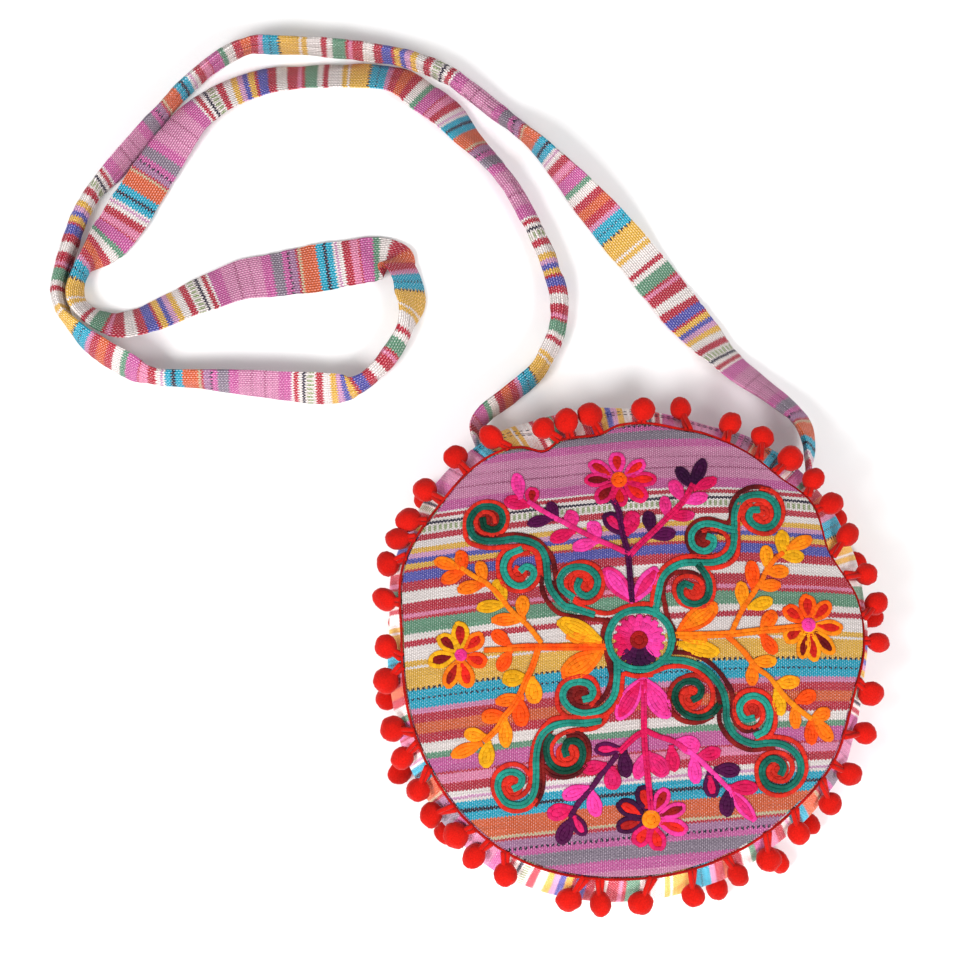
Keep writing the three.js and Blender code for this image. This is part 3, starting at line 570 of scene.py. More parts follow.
# Flowers on the chart: middle, its radius, thread and dye,
# then petals as tip, width, thread, dye and inner dye
FLOWERS = [
    ((619, 480), 8, "orange", 0.8, [
        ((616, 452), 17, "pink", 0.3, 0.2), ((645, 461), 15, "pink", 0.4, 0.1),
        ((657, 479), 16, "pink", 1.0, 0.1), ((647, 500), 18, "pink", 1.0, 0.1),
        ((620, 507), 17, "pink", 1.0, 0.3), ((596, 502), 17, "pink", 0.9, 0.9),
        ((584, 480), 15, "pink", 0.8, 0.9), ((589, 462), 16, "pink", 0.5, 0.5),
    ]),
    ((651, 819), 9, "orange", 0.4, [
        ((617, 802), 18, "purple", 0.8, 0.0), ((641, 785), 18, "purple", 0.8, 0.3),
        ((667, 788), 16, "pink", 0.4, 0.6), ((686, 806), 15, "pink", 0.2, 0.8),
        ((688, 831), 17, "pink", 0.3, 0.1), ((660, 851), 18, "pink", 0.9, 0.0),
        ((636, 846), 18, "pink", 1.0, 0.2), ((616, 828), 17, "purple", 0.8, 0.7),
    ]),
    ((461, 655), 6, "pink", 0.3, [
        ((460, 621), 18, "yellow", 0.5, 0.5), ((483, 634), 17, "orange", 0.7, 0.2),
        ((487, 663), 16, "orange", 0.9, 0.0), ((469, 688), 17, "orange", 0.6, 0.1),
        ((446, 688), 16, "orange", 0.5, 0.7), ((428, 662), 18, "yellow", 0.2, 0.9),
        ((439, 635), 17, "yellow", 0.6, 1.0),
    ]),
    ((808, 625), 7, "pink", 0.2, [
        ((807, 594), 18, "orange", 0.9, 0.3), ((830, 602), 16, "orange", 0.7, 0.2),
        ((843, 629), 16, "orange", 0.4, 0.2), ((834, 654), 16, "orange", 0.2, 1.0),
        ((815, 662), 16, "orange", 0.2, 0.5), ((801, 659), 14, "orange", 0.2, 1.0),
        ((784, 640), 17, "orange", 0.4, 0.6), ((784, 607), 17, "orange", 0.9, 0.1),
    ]),
]

# The middle flower: a pink fan above a purple one, round a dark middle
MIDDLE_FLOWER = (639, 640)
MIDDLE_RADIUS = 9.0
PETAL_REACH = 26.0
PETAL_WIDTH = 9.0
PETAL_START = 0.7
PINK_FAN = [
    (-38, 0.1), (-17, 0.1), (4, 0.1), (25, 0.2), (46, 0.2), (67, 0.3), (88, 0.4), (109, 0.6),
    (130, 0.8), (151, 0.9), (172, 1.0), (193, 1.0), (214, 1.0),
]
PURPLE_FAN = [(229, 0.4), (245, 0.6), (260, 0.9), (275, 0.9), (290, 0.9), (305, 0.6)]


# The screen's colour curve
SCREEN_WHITE = 255.0
CURVE_KNEE = 0.04045
CURVE_SLOPE = 12.92
CURVE_OFFSET = 0.055
CURVE_POWER = 2.4


def linear_colour(red, green, blue):
    """Turn a screen colour from 0 to 255 into the linear colour that shaders use."""

    def channel(value):
        share = value / SCREEN_WHITE
        if share <= CURVE_KNEE:
            return share / CURVE_SLOPE
        return ((share + CURVE_OFFSET) / (1 + CURVE_OFFSET)) ** CURVE_POWER

    return (channel(red), channel(green), channel(blue), 1.0)


def length_property(label, description, default):
    """A length that a user may change, in metres."""
    return FloatProperty(
        name=label,
        description=description,
        default=default,
        min=0.0,
        unit="LENGTH",
        precision=4,
    )


def colour_property(label, description, red, green, blue):
    """A colour that a user may change, given as it looks on screen."""
    return FloatVectorProperty(
        name=label,
        description=description,
        default=linear_colour(red, green, blue),
        size=4,
        min=0.0,
        max=1.0,
        subtype="COLOR",
    )


class BagSizes(bpy.types.PropertyGroup):
    """Sizes of the bag's cloth, trims and stitches."""

    side_cloth: length_property("Side Cloth", "Thickness of the gusset and zip bands", 0.002)
    panel_cloth: length_property("Panel Cloth", "Thickness of the front and back panels", 0.0022)
    seam_height: length_property("Front Seam Height", "Height of the front seam above the floor", 0.0465)
    dome_rise: length_property("Dome Rise", "How far the front panel swells above its seam", 0.009)
    pucker: length_property("Seam Pucker", "Depth of the gathers along the seams", 0.0005)
    braid_radius: length_property("Braid Radius", "Half the thickness of the seam braid", 0.00068)
    pompom_radius: length_property("Pompom Radius", "Radius of a pompom that shows", 0.0056)
    tucked_radius: length_property("Tucked Radius", "Radius of a pompom under the bag", 0.0050)
    strap_width: length_property("Strap Width", "Width of the folded strap", 0.0215)
    strap_thickness: length_property("Strap Thickness", "Thickness of the folded strap", 0.0024)
    stitch_spacing: length_property("Stitch Spacing", "Distance between embroidery stitches", 0.0020)
    stitch_length: length_property("Stitch Length", "Length of one embroidery stitch", 0.0027)
    stitch_height: length_property("Stitch Height", "Height of one embroidery stitch", 0.0011)
    topstitch_spacing: length_property("Topstitch Spacing", "Distance between sewing stitches", 0.0030)


class BagColours(bpy.types.PropertyGroup):
    """Colours of the weaving yarns, embroidery threads and trims."""

    light_pink: colour_property("Light Pink", "Yarn of the wide pale stripes", 200, 126, 163)
    rose: colour_property("Rose", "Yarn of the thin lines in the wide stripes", 152, 74, 112)
    orchid: colour_property("Orchid", "Purple pink yarn", 191, 88, 150)
    grey: colour_property("Grey", "Grey yarn", 128, 114, 130)
    mauve: colour_property("Mauve", "Mauve grey yarn", 158, 110, 146)
    navy: colour_property("Navy", "Near black yarn of the fine lines", 28, 24, 48)
    crimson: colour_property("Crimson", "Dark red yarn", 180, 36, 56)
    beige: colour_property("Beige", "Beige yarn", 190, 172, 138)
    orange: colour_property("Orange", "Orange yarn", 206, 92, 48)
    turquoise: colour_property("Turquoise", "Blue green yarn", 16, 158, 186)
    white: colour_property("White", "White yarn", 226, 216, 212)
    lilac: colour_property("Lilac", "Pale purple yarn", 204, 148, 186)
    pink: colour_property("Pink", "Clear pink yarn", 216, 126, 160)
    sage: colour_property("Sage", "Grey green yarn", 96, 144, 116)
    mustard: colour_property("Mustard", "Yellow brown yarn", 222, 172, 66)
    blue: colour_property("Blue", "Violet blue yarn", 78, 80, 166)
    olive: colour_property("Olive", "Pale olive yarn", 150, 162, 120)
    warp: colour_property("Warp", "Pale warp that shows between the weft", 238, 226, 232)
    thread_red: colour_property("Scroll Red", "Red embroidery thread", 201, 39, 24)
    thread_maroon: colour_property("Scroll Maroon", "Dark end of the red thread", 75, 8, 13)
    thread_teal: colour_property("Scroll Teal", "Teal embroidery thread", 34, 139, 124)
    thread_green: colour_property("Scroll Green", "Dark end of the teal thread", 0, 53, 38)
    thread_pink: colour_property("Spray Pink", "Light pink embroidery thread", 225, 58, 152)
    thread_magenta: colour_property("Spray Magenta", "Dark end of the pink thread", 196, 13, 76)
    thread_purple: colour_property("Spray Purple", "Purple embroidery thread", 83, 4, 66)
    thread_plum: colour_property("Spray Plum", "Dark end of the purple thread", 43, 2, 43)
    thread_amber: colour_property("Spray Amber", "Amber embroidery thread", 233, 147, 13)
    thread_orange: colour_property("Spray Orange", "Dark end of the amber thread", 227, 70, 4)
    thread_yellow: colour_property("Spray Yellow", "Yellow embroidery thread", 225, 160, 16)
    thread_gold: colour_property("Spray Gold", "Dark end of the yellow thread", 203, 143, 6)
    thread_poppy: colour_property("Petal Red", "Red thread inside the petals", 212, 30, 19)
    thread_wine: colour_property("Petal Wine", "Dark end of the petal thread", 90, 4, 11)
    wool: colour_property("Wool", "Red wool of the braids and pompoms", 216, 24, 13)
    wool_shade: colour_property("Wool Shade", "Darker wool between the tufts", 104, 4, 4)
    sewing: colour_property("Sewing Thread", "Grey topstitching", 150, 140, 145)
    zip_tape: colour_property("Zip Tape", "Dark tape of the hidden zip", 60, 14, 24)
    floor: colour_property("Floor", "White studio floor", 253, 253, 253)


def size(name):
    """A size from the panel's settings, in millimetres."""
    return getattr(bpy.context.scene.bag_sizes, name) / MM


def colour(name):
    """A colour from the panel's settings."""
    return tuple(getattr(bpy.context.scene.bag_colours, name))


# Shape of the bag


def hermite(start, end, start_slope, end_slope, share, span):
    """A smooth value between two knots with given slopes."""
    squared = share * share
    cubed = squared * share
    start_part = (2 * cubed - 3 * squared + 1) * start + (cubed - 2 * squared + share) * start_slope * span
    end_part = (3 * squared - 2 * cubed) * end + (cubed - squared) * end_slope * span
    return start_part + end_part


def outline_at(angle, column):
    """A smooth radius of the bag at any plan angle."""
    turned = angle % FULL_TURN
    count = len(OUTLINE)
    row = count - 1
    while row > 0 and OUTLINE[row][0] > turned:
        row -= 1

    def knot(index):
        wraps = index // count
        entry = OUTLINE[index - wraps * count]
        return entry[0] + wraps * FULL_TURN, entry[column]

    def slope(index):
        before_angle, before = knot(index - 1)
        after_angle, after = knot(index + 1)
        return (after - before) / (after_angle - before_angle)

    start_angle, start = knot(row)
    end_angle, end = knot(row + 1)
    span = end_angle - start_angle
    share = (turned - start_angle) / span
    return hermite(start, end, slope(row), slope(row + 1), share, span)


def plan(angle, reach, height):
    """A point at a plan angle, a distance from the bag's middle and a height."""
    turn = math.radians(angle)
    return Vector((math.cos(turn) * reach, math.sin(turn) * reach, height))


def smooth_line(points, steps):
    """A rounded line through points, given as tuples of any length."""
    last = len(points) - 1
    line = []
    for span in range(last):
        before, start = points[max(span - 1, 0)], points[span]
        end, after = points[span + 1], points[min(span + 2, last)]
        for step in range(steps):
            share = step / steps
            line.append(tuple(
                hermite(from_value, to_value, (to_value - earlier) / 2, (later - from_value) / 2, share, 1)
                for earlier, from_value, to_value, later in zip(before, start, end, after)
            ))
    line.append(tuple(points[last]))
    return line


def gusset_profile(angle):
    """The gusset's profile at a plan angle, from the front seam to the back: reach and height."""
    front = outline_at(angle, FRONT)
    bulge = outline_at(angle, BULGE)
    back = outline_at(angle, BACK)
    upper = [(front + (bulge - front) * share, height) for share, height in UPPER_PROFILE]
    lower = [(back + (bulge - back) * share, height) for share, height in LOWER_PROFILE]
    return upper + lower


class ProfileRun:
    """The rounded gusset profile at one plan angle, measured along its length."""

    PROBE = 0.02
    STEPS = 5

    def __init__(self, angle):
        self.places = smooth_line(gusset_profile(angle), self.STEPS)
        self.lengths = [0.0]
        for start, end in zip(self.places, self.places[1:]):
            self.lengths.append(self.lengths[-1] + math.dist(start, end))
        self.total = self.lengths[-1]

    def at(self, share):
        wanted = min(max(share, 0.0), 1.0) * self.total
        index = 1
        while index < len(self.lengths) - 1 and self.lengths[index] < wanted:
            index += 1
        start, end = self.places[index - 1], self.places[index]
        part = (wanted - self.lengths[index - 1]) / (self.lengths[index] - self.lengths[index - 1])
        return start[0] + (end[0] - start[0]) * part, start[1] + (end[1] - start[1]) * part

    def outward(self, share):
        before = self.at(share - self.PROBE)
        after = self.at(share + self.PROBE)
        length = math.dist(before, after)
        return -(after[1] - before[1]) / length, (after[0] - before[0]) / length


# Gathers along a seam: how many round the bag, how far they drift, how often, and their weight
GATHERS = [(47, 1.7, 5, 0.65), (113, 2.3, 7, 0.35)]
SOFT_CREASE_RATE = 0.035


def seam_gathers(angle):
    """Uneven gathers of cloth along a seam, from -1 to 1."""
    turn = math.radians(angle)
    return sum(
        weight * math.sin(count * turn + drift * math.sin(drift_rate * turn))
        for count, drift, drift_rate, weight in GATHERS
    )


def soft_crease(x, y):
    """Slow soft unevenness of slack cloth, from -1 to 1."""
    return noise.noise(Vector((x, y, 0)) * SOFT_CREASE_RATE)


def between(table, place):
    """A value read from a table of places and values, in a straight line between its rows."""
    for (low, low_value), (high, high_value) in zip(table, table[1:]):
        if place <= high:
            break
    return low_value + (high_value - low_value) * (place - low) / (high - low)


# The front panel is slack in its middle and gathers towards its rim, but not in the seam itself
SLACK_POWER = 8
GATHER_START_POWER = 14
GATHER_END_POWER = 40
PANEL_CREASE = 1.3
PANEL_GATHER = 0.9
NORMAL_PROBE = 0.6


def panel_height(x, y):
    """Height of the front panel's upper side, with its dents, gathers and soft unevenness."""
    angle = math.degrees(math.atan2(y, x))
    edge = outline_at(angle, FRONT) - SEAM_GAP
    share = min(math.hypot(x, y) / edge, 1.0)
    height = size("seam_height") + size("panel_cloth") / 2 + size("dome_rise") * (1 - share**DOME_POWER)
    slack = 1 - share**SLACK_POWER
    for dent_angle, reach, depth, spread in DENTS:
        place = plan(dent_angle, reach, 0)
        away = ((x - place.x) ** 2 + (y - place.y) ** 2) / spread**2
        height -= depth * math.exp(-away) * slack
    creases = PANEL_CREASE * soft_crease(x, y) * slack
    gathers = PANEL_GATHER * seam_gathers(angle) * share**GATHER_START_POWER * (1 - share**GATHER_END_POWER)
    return height + size("pucker") * (creases + gathers)


def panel_normal(x, y):
    """Upward normal of the front panel."""
    probe = NORMAL_PROBE
    slope_x = (panel_height(x + probe, y) - panel_height(x - probe, y)) / (2 * probe)
    slope_y = (panel_height(x, y + probe) - panel_height(x, y - probe)) / (2 * probe)
    return Vector((-slope_x, -slope_y, 1)).normalized()


def panel_stripe(x, y):
    """How far up the cloth's stripe repeat a place on the front panel lies."""
    rise = y - PANEL_STRIPE_SLOPE * x + PANEL_STRIPE_BOW * x * x
    rise += (PANEL_RIGHT_DROP + PANEL_RIGHT_DROP_RATE * y) * max(x, 0.0) ** 2
    return between(PANEL_STRIPES, rise)


# Mesh helpers


def new_object(name, mesh):
    """Link a mesh into the scene as a new object at the origin."""
    made = bpy.data.objects.new(name, mesh)
    bpy.context.scene.collection.objects.link(made)
    return made


def face_outward(mesh):
    """Turn every face of a closed mesh outward."""
    shaped = bmesh.new()
    shaped.from_mesh(mesh)
    bmesh.ops.recalc_face_normals(shaped, faces=shaped.faces)
    shaped.to_mesh(mesh)
    shaped.free()


def cloth_object(name, points, faces, places):
    """A closed cloth mesh. Points and cloth places are in millimetres, one place for each point."""
    mesh = bpy.data.meshes.new(name)
    mesh.from_pydata([tuple(Vector(point) * MM) for point in points], [], faces)
    cloth_map = mesh.uv_layers.new(name="cloth")
    for loop in mesh.loops:
        cloth_map.data[loop.index].uv = places[loop.vertex_index]
    face_outward(mesh)
    mesh.shade_smooth()
    return new_object(name, mesh)


def loft_faces(rows, columns):
    """Quads of a skin through closed loops of equal length, with both ends capped."""
    faces = []
    for row in range(rows - 1):
        start = row * columns
        following = start + columns
        for column in range(columns):
            across = (column + 1) % columns
            faces.append((start + column, start + across, following + across, following + column))
    for start in (0, (rows - 1) * columns):
        end = start + columns - 1
        for index in range(columns // 2 - 1):
            faces.append((start + index, start + index + 1, end - 1 - index, end - index))
    return faces


def join_meshes(name, meshes):
    """One mesh object made of several meshes."""
    whole = bmesh.new()
    for mesh in meshes:
        whole.from_mesh(mesh)
    joined = bpy.data.meshes.new(name)
    whole.to_mesh(joined)
    whole.free()
    joined.shade_smooth()
    return new_object(name, joined)


def finish_piece(piece, slot, *nodes):
    """Fasten a finished piece to the bag and hide the solids it stands for."""
    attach(piece, "root")
    if nodes:
        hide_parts(*nodes)


# Shader helpers


class NodePen:
    """Adds nodes to a tree and links them as it goes."""

    MIX_FIRST_COLOUR = 6
    MIX_SECOND_COLOUR = 7
    MIX_COLOUR_RESULT = 2

    def __init__(self, tree):
        self.tree = tree

    def node(self, kind, inputs=None, **settings):
        made = self.tree.nodes.new(kind)
        for key, value in settings.items():
            setattr(made, key, value)
        for key, value in (inputs or {}).items():
            self.feed(made.inputs[key], value)
        return made

    def feed(self, socket, value):
        if isinstance(value, bpy.types.NodeSocket):
            self.tree.links.new(value, socket)
        else:
            socket.default_value = value

    def math(self, operation, first, second=0.0, clamp=False):
        made = self.node("ShaderNodeMath", operation=operation, use_clamp=clamp)
        self.feed(made.inputs[0], first)
        self.feed(made.inputs[1], second)
        return made.outputs[0]

    def plus(self, first, second):
        return self.math("ADD", first, second)

    def minus(self, first, second):
        return self.math("SUBTRACT", first, second)

    def times(self, first, second):
        return self.math("MULTIPLY", first, second)

    def divided(self, first, second):
        return self.math("DIVIDE", first, second)

    def mix(self, share, first, second):
        made = self.node("ShaderNodeMix", data_type="RGBA")
        self.feed(made.inputs["Factor"], share)
        self.feed(made.inputs[self.MIX_FIRST_COLOUR], first)
        self.feed(made.inputs[self.MIX_SECOND_COLOUR], second)
        return made.outputs[self.MIX_COLOUR_RESULT]

    def scaled(self, vector, factor):
        made = self.node("ShaderNodeVectorMath", {"Scale": factor}, operation="SCALE")
        self.feed(made.inputs[0], vector)
        return made.outputs[0]

    def product(self, first, second):
        made = self.node("ShaderNodeVectorMath", operation="MULTIPLY")
        self.feed(made.inputs[0], first)
        self.feed(made.inputs[1], second)
        return made.outputs[0]

    def range(self, value, from_low, from_high, to_low, to_high):
        made = self.node("ShaderNodeMapRange", interpolation_type="SMOOTHSTEP")
        for socket, number in zip(made.inputs[:5], (value, from_low, from_high, to_low, to_high)):
            self.feed(socket, number)
        return made.outputs["Result"]

    def noise(self, place, scale, detail):
        made = self.node("ShaderNodeTexNoise", {"Scale": scale, "Detail": detail})
        self.feed(made.inputs["Vector"], place)
        return made.outputs["Fac"]


def new_group(name, inputs, outputs):
    """A shader node group with named sockets: name, kind and default of each."""
    tree = bpy.data.node_groups.new(name, "ShaderNodeTree")
    for label, kind, default in inputs:
        socket = tree.interface.new_socket(label, in_out="INPUT", socket_type=kind)
        if default is not None:
            socket.default_value = default
    for label, kind in outputs:
        tree.interface.new_socket(label, in_out="OUTPUT", socket_type=kind)
    return tree, NodePen(tree), tree.nodes.new("NodeGroupInput"), tree.nodes.new("NodeGroupOutput")


STRIPE_REPEAT = sum(width for _, width, _ in STRIPES)
JAG_PITCH = 1.7
DASH_PITCH = 2.5
DASH_SHARE = 0.58
WARP_PITCH = 1.08
WEFT_PITCH = 1.5

# Noise over the cloth: its rate across the cloth's width, its rate along the cloth, and its detail
WANDER_NOISE = (0.05, 0.5, 2.0)
FRAY_NOISE = (1.6, 2.2, 1.0)
THREAD_NOISE = (0.9, 1.6, 3.0)
STREAK_NOISE = (0.02, 1.25, 2.0)
WORN_NOISE = (0.035, 0.05, 3.0)
NOISE_MEAN = 0.5
WANDER_REACH = 1.1
FRAY_REACH = 0.9
SAW_MIDDLE = 0.5
SAW_MEAN = 0.25
SAW_SCALE = 4.0
OVER_SHARE = 0.75
UNDER_SHARE = 0.25
DOT_POWER = 2.0
# Painted shade in the weave's hollows: the colour's level where the weave is high, lowered where it is low
VALLEY_SHADE_TOP = 1.06
THREAD_RELIEF = 0.5

# Smooth ranges: a low and a high value, then what each of them becomes
UNEVEN_WARP = (0.3, 0.7, 0.1, 1.5)
WEAVE_HOLLOW_SHADE = (0.0, 0.45, 1.0, 0.0)
THREAD_TONE = (0.25, 0.75, 0.84, 1.1)
WORN_TONE = (0.3, 0.7, -0.06, 0.06)
STREAK_TONE = (0.3, 0.7, 0.86, 1.08)
CLOTH_ROUGHNESS = (0.2, 0.8, 0.95, 0.78)
DYE_DRIFT = (0.3, 0.7, -0.16, 0.16)
FIBRE_TONE = (0.25, 0.75, 0.8, 1.1)
SHADE_TONE = (0.0, 1.0, 0.82, 1.08)
FIBRE_ROUGHNESS = (0.2, 0.8, 0.72, 0.55)
TAPE_ROUGHNESS = (0.2, 0.8, 0.9, 0.7)


def stripe_ramp(pen, stripes, place, partner):
    """A stepped ramp of yarn colours. With partner set, it has the yarn between a stripe's dashes."""
    total = sum(width for _, width, _ in stripes)
    ramp = pen.node("ShaderNodeValToRGB")
    ramp.color_ramp.interpolation = "CONSTANT"
    steps = ramp.color_ramp.elements
    start = 0.0
    for index, (yarn, width, gap_yarn) in enumerate(stripes):
        shown = gap_yarn if partner and gap_yarn else yarn
        if index == 0:
            step = steps[0]
        elif index == 1:
            step = steps[1]
            step.position = start / total
        else:
            step = steps.new(start / total)
        step.color = colour(shown)
        start += width
    pen.feed(ramp.inputs["Fac"], place)
    return ramp.outputs["Color"]


def woven_stripes_group():
    """Shader group of the handwoven cloth: stepped stripes, dashes, pale warp, weave relief and painted shade
    in the weave's hollows.
    """
    made = bpy.data.node_groups.get("woven_stripes")
    if made:
        return made
    tree, pen, given, result = new_group(
        "woven_stripes",
        [
            ("Cloth Place", "NodeSocketVector", None),
            ("Warp Show", "NodeSocketFloat", 0.3),
            ("Brightness", "NodeSocketFloat", 1.0),
            ("Weave Size", "NodeSocketFloat", 1.0),
            ("Jag", "NodeSocketFloat", 0.3),
            ("Valley Shade", "NodeSocketFloat", 0.3),
        ],
        [("Colour", "NodeSocketColor"), ("Height", "NodeSocketFloat"), ("Roughness", "NodeSocketFloat")],
    )
    split = pen.node("ShaderNodeSeparateXYZ", {"Vector": given.outputs["Cloth Place"]})
    across, along = split.outputs["X"], split.outputs["Y"]

    # Weft threads wander a little, and each stripe's edge steps with the warp
    def cloth_noise(across_rate, along_rate, detail):
        place = pen.node(
            "ShaderNodeCombineXYZ",
            {"X": pen.times(across, across_rate), "Y": pen.times(along, along_rate)},
        )
        return pen.noise(place.outputs[0], 1.0, detail)

    wander = pen.times(pen.minus(cloth_noise(*WANDER_NOISE), NOISE_MEAN), WANDER_REACH)
    fray = pen.times(pen.minus(cloth_noise(*FRAY_NOISE), NOISE_MEAN), FRAY_REACH)
    saw = pen.math("FRACT", pen.divided(across, JAG_PITCH))
    fold = pen.minus(pen.math("ABSOLUTE", pen.minus(saw, SAW_MIDDLE)), SAW_MEAN)
    zigzag = pen.times(pen.times(fold, SAW_SCALE), given.outputs["Jag"])
    stripe_place = pen.plus(pen.plus(along, zigzag), pen.plus(wander, fray))
    repeat = pen.math("FLOORED_MODULO", stripe_place, STRIPE_REPEAT)

    # The repeat is held in two ramps, one for each half of the stripes
    half = len(STRIPES) // 2 + 1
    first, second = STRIPES[:half], STRIPES[half:]
    first_length = sum(width for _, width, _ in first)
    second_length = STRIPE_REPEAT - first_length
    first_place = pen.divided(repeat, first_length)
    second_place = pen.divided(pen.minus(repeat, first_length), second_length)
    in_second = pen.math("GREATER_THAN", repeat, first_length)

    def both_halves(partner):
        return pen.mix(
            in_second,
            stripe_ramp(pen, first, first_place, partner),
            stripe_ramp(pen, second, second_place, partner),
        )

    dash = pen.math("GREATER_THAN", pen.math("FRACT", pen.divided(across, DASH_PITCH)), DASH_SHARE)
    striped = pen.mix(dash, both_halves(False), both_halves(True))

    # Warp threads show as pale ribs, broken where the weft passes over them
    def wave(operation, turn):
        return pen.plus(pen.times(pen.math(operation, turn), 0.5), 0.5)

    column = pen.divided(across, pen.times(given.outputs["Weave Size"], WARP_PITCH))
    row = pen.divided(along, pen.times(given.outputs["Weave Size"], WEFT_PITCH))
    rib = wave("COSINE", pen.times(column, 2 * math.pi))
    odd = pen.math("FLOORED_MODULO", pen.math("FLOOR", pen.plus(column, 0.5)), 2.0)
    turn = pen.plus(pen.times(row, 2 * math.pi), pen.times(odd, math.pi))
    over = pen.plus(pen.times(wave("SINE", turn), OVER_SHARE), UNDER_SHARE)
    weave = pen.times(rib, over)
    dots = pen.math("POWER", weave, DOT_POWER)
    thread = cloth_noise(*THREAD_NOISE)
    streak = cloth_noise(*STREAK_NOISE)
    worn = cloth_noise(*WORN_NOISE)
    uneven = pen.range(thread, *UNEVEN_WARP)
    warp_share = pen.times(pen.times(dots, given.outputs["Warp Show"]), uneven)
    speckled = pen.mix(warp_share, striped, colour("warp"))
    # Painted shade: the cloth's colour is darkened in the weave's hollows, the more so the larger the valley
    # shade
    hollow_shade = pen.times(pen.range(weave, *WEAVE_HOLLOW_SHADE), given.outputs["Valley Shade"])
    valley_shade = pen.minus(VALLEY_SHADE_TOP, hollow_shade)
    tone = pen.plus(pen.range(thread, *THREAD_TONE), pen.range(worn, *WORN_TONE))
    streaked = pen.times(tone, pen.range(streak, *STREAK_TONE))
    # Brightness scales each piece's colour; on the strap and the sides it is raised as painted light
    bright = pen.times(pen.times(streaked, valley_shade), given.outputs["Brightness"])
    pen.feed(result.inputs["Colour"], pen.scaled(speckled, bright))
    pen.feed(result.inputs["Height"], pen.plus(weave, pen.times(thread, THREAD_RELIEF)))
    pen.feed(result.inputs["Roughness"], pen.range(thread, *CLOTH_ROUGHNESS))
    return tree


def new_material(name):
    """An empty node material with its shader, and a pen to draw on it."""
    material = bpy.data.materials.new(name)
    material.use_nodes = True
    shader = material.node_tree.nodes["Principled BSDF"]
    return material, NodePen(material.node_tree), shader


CLOTH_RELIEF = 0.0004
CLOTH_SPECULAR = 0.2
CLOTH_SHEEN = 0.06
CLOTH_SHEEN_ROUGHNESS = 0.5
YARN_RELIEF = 0.0003
YARN_SPECULAR = 0.12
YARN_SHEEN = 0.03
YARN_SHEEN_ROUGHNESS = 0.4
YARN_BUMP = 0.3
YARN_FIBRE_SCALE = 2600.0
FIBRE_DETAIL = 2.0
DRIFT_SCALE = 90.0
DRIFT_DETAIL = 1.0


def link_group(pen, shader, group, bump_strength, relief, roughness=None):
    """Lead a group's colour, relief and roughness to a shader, or give it a plain roughness."""
    bump = pen.node("ShaderNodeBump", {"Strength": bump_strength, "Distance": relief})
    pen.feed(bump.inputs["Height"], group.outputs["Height"])
    pen.feed(shader.inputs["Base Color"], group.outputs["Colour"])
    pen.feed(shader.inputs["Roughness"], group.outputs["Roughness"] if roughness is None else roughness)
    pen.feed(shader.inputs["Normal"], bump.outputs["Normal"])


def set_surface(shader, specular, sheen, sheen_roughness):
    """How glossy and how downy a material is."""
    shader.inputs["Specular IOR Level"].default_value = specular
    shader.inputs["Sheen Weight"].default_value = sheen
    shader.inputs["Sheen Roughness"].default_value = sheen_roughness


def cloth_material(name, brightness, warp_show, bump_strength, weave_size, jag, valley_shade):
    """Handwoven striped cotton."""
    material, pen, shader = new_material(name)
    weave = pen.node(
        "ShaderNodeGroup",
        {
            "Cloth Place": pen.node("ShaderNodeUVMap", uv_map="cloth").outputs["UV"],
            "Warp Show": warp_show,
            "Brightness": brightness,
            "Weave Size": weave_size,
            "Jag": jag,
            "Valley Shade": valley_shade,
        },
        node_tree=woven_stripes_group(),
    )
    link_group(pen, shader, weave, bump_strength, CLOTH_RELIEF)
    set_surface(shader, CLOTH_SPECULAR, CLOTH_SHEEN, CLOTH_SHEEN_ROUGHNESS)
    return material


def fibre_group():
    """Shader group of spun yarn: a light and dark dye, uneven fibres and fine relief."""
    made = bpy.data.node_groups.get("spun_fibre")
    if made:
        return made
    tree, pen, given, result = new_group(
        "spun_fibre",
        [
            ("Light", "NodeSocketColor", None),
            ("Dark", "NodeSocketColor", None),
            ("Dye", "NodeSocketFloat", 0.0),
            ("Shade", "NodeSocketFloat", 0.5),
            ("Fibre Scale", "NodeSocketFloat", YARN_FIBRE_SCALE),
        ],
        [("Colour", "NodeSocketColor"), ("Height", "NodeSocketFloat"), ("Roughness", "NodeSocketFloat")],
    )
    place = pen.node("ShaderNodeTexCoord").outputs["Object"]
    fibre = pen.noise(place, given.outputs["Fibre Scale"], FIBRE_DETAIL)
    drift = pen.noise(place, DRIFT_SCALE, DRIFT_DETAIL)
    dyed = pen.math("ADD", given.outputs["Dye"], pen.range(drift, *DYE_DRIFT), clamp=True)
    yarn = pen.mix(dyed, given.outputs["Light"], given.outputs["Dark"])
    shade = pen.range(given.outputs["Shade"], *SHADE_TONE)
    tone = pen.times(pen.range(fibre, *FIBRE_TONE), shade)
    pen.feed(result.inputs["Colour"], pen.scaled(yarn, tone))
    pen.feed(result.inputs["Height"], fibre)
    pen.feed(result.inputs["Roughness"], pen.range(fibre, *FIBRE_ROUGHNESS))
    return tree


def yarn_material(
    name,
    light,
    dark,
    roughness=None,
    sheen=YARN_SHEEN,
    fibre_scale=YARN_FIBRE_SCALE,
    bump_strength=YARN_BUMP,
):
    """Embroidery thread, wool or sewing thread, from its light and dark colours."""
    material, pen, shader = new_material(name)
    fibre = pen.node(
        "ShaderNodeGroup",
        {
            "Light": colour(light),
            "Dark": colour(dark),
            "Dye": pen.node("ShaderNodeAttribute", attribute_name="dye").outputs["Fac"],
            "Shade": pen.node("ShaderNodeAttribute", attribute_name="shade").outputs["Fac"],
            "Fibre Scale": fibre_scale,
        },
        node_tree=fibre_group(),
    )
    link_group(pen, shader, fibre, bump_strength, YARN_RELIEF, roughness)
    set_surface(shader, YARN_SPECULAR, sheen, YARN_SHEEN_ROUGHNESS)
    return material


# Geometry Nodes


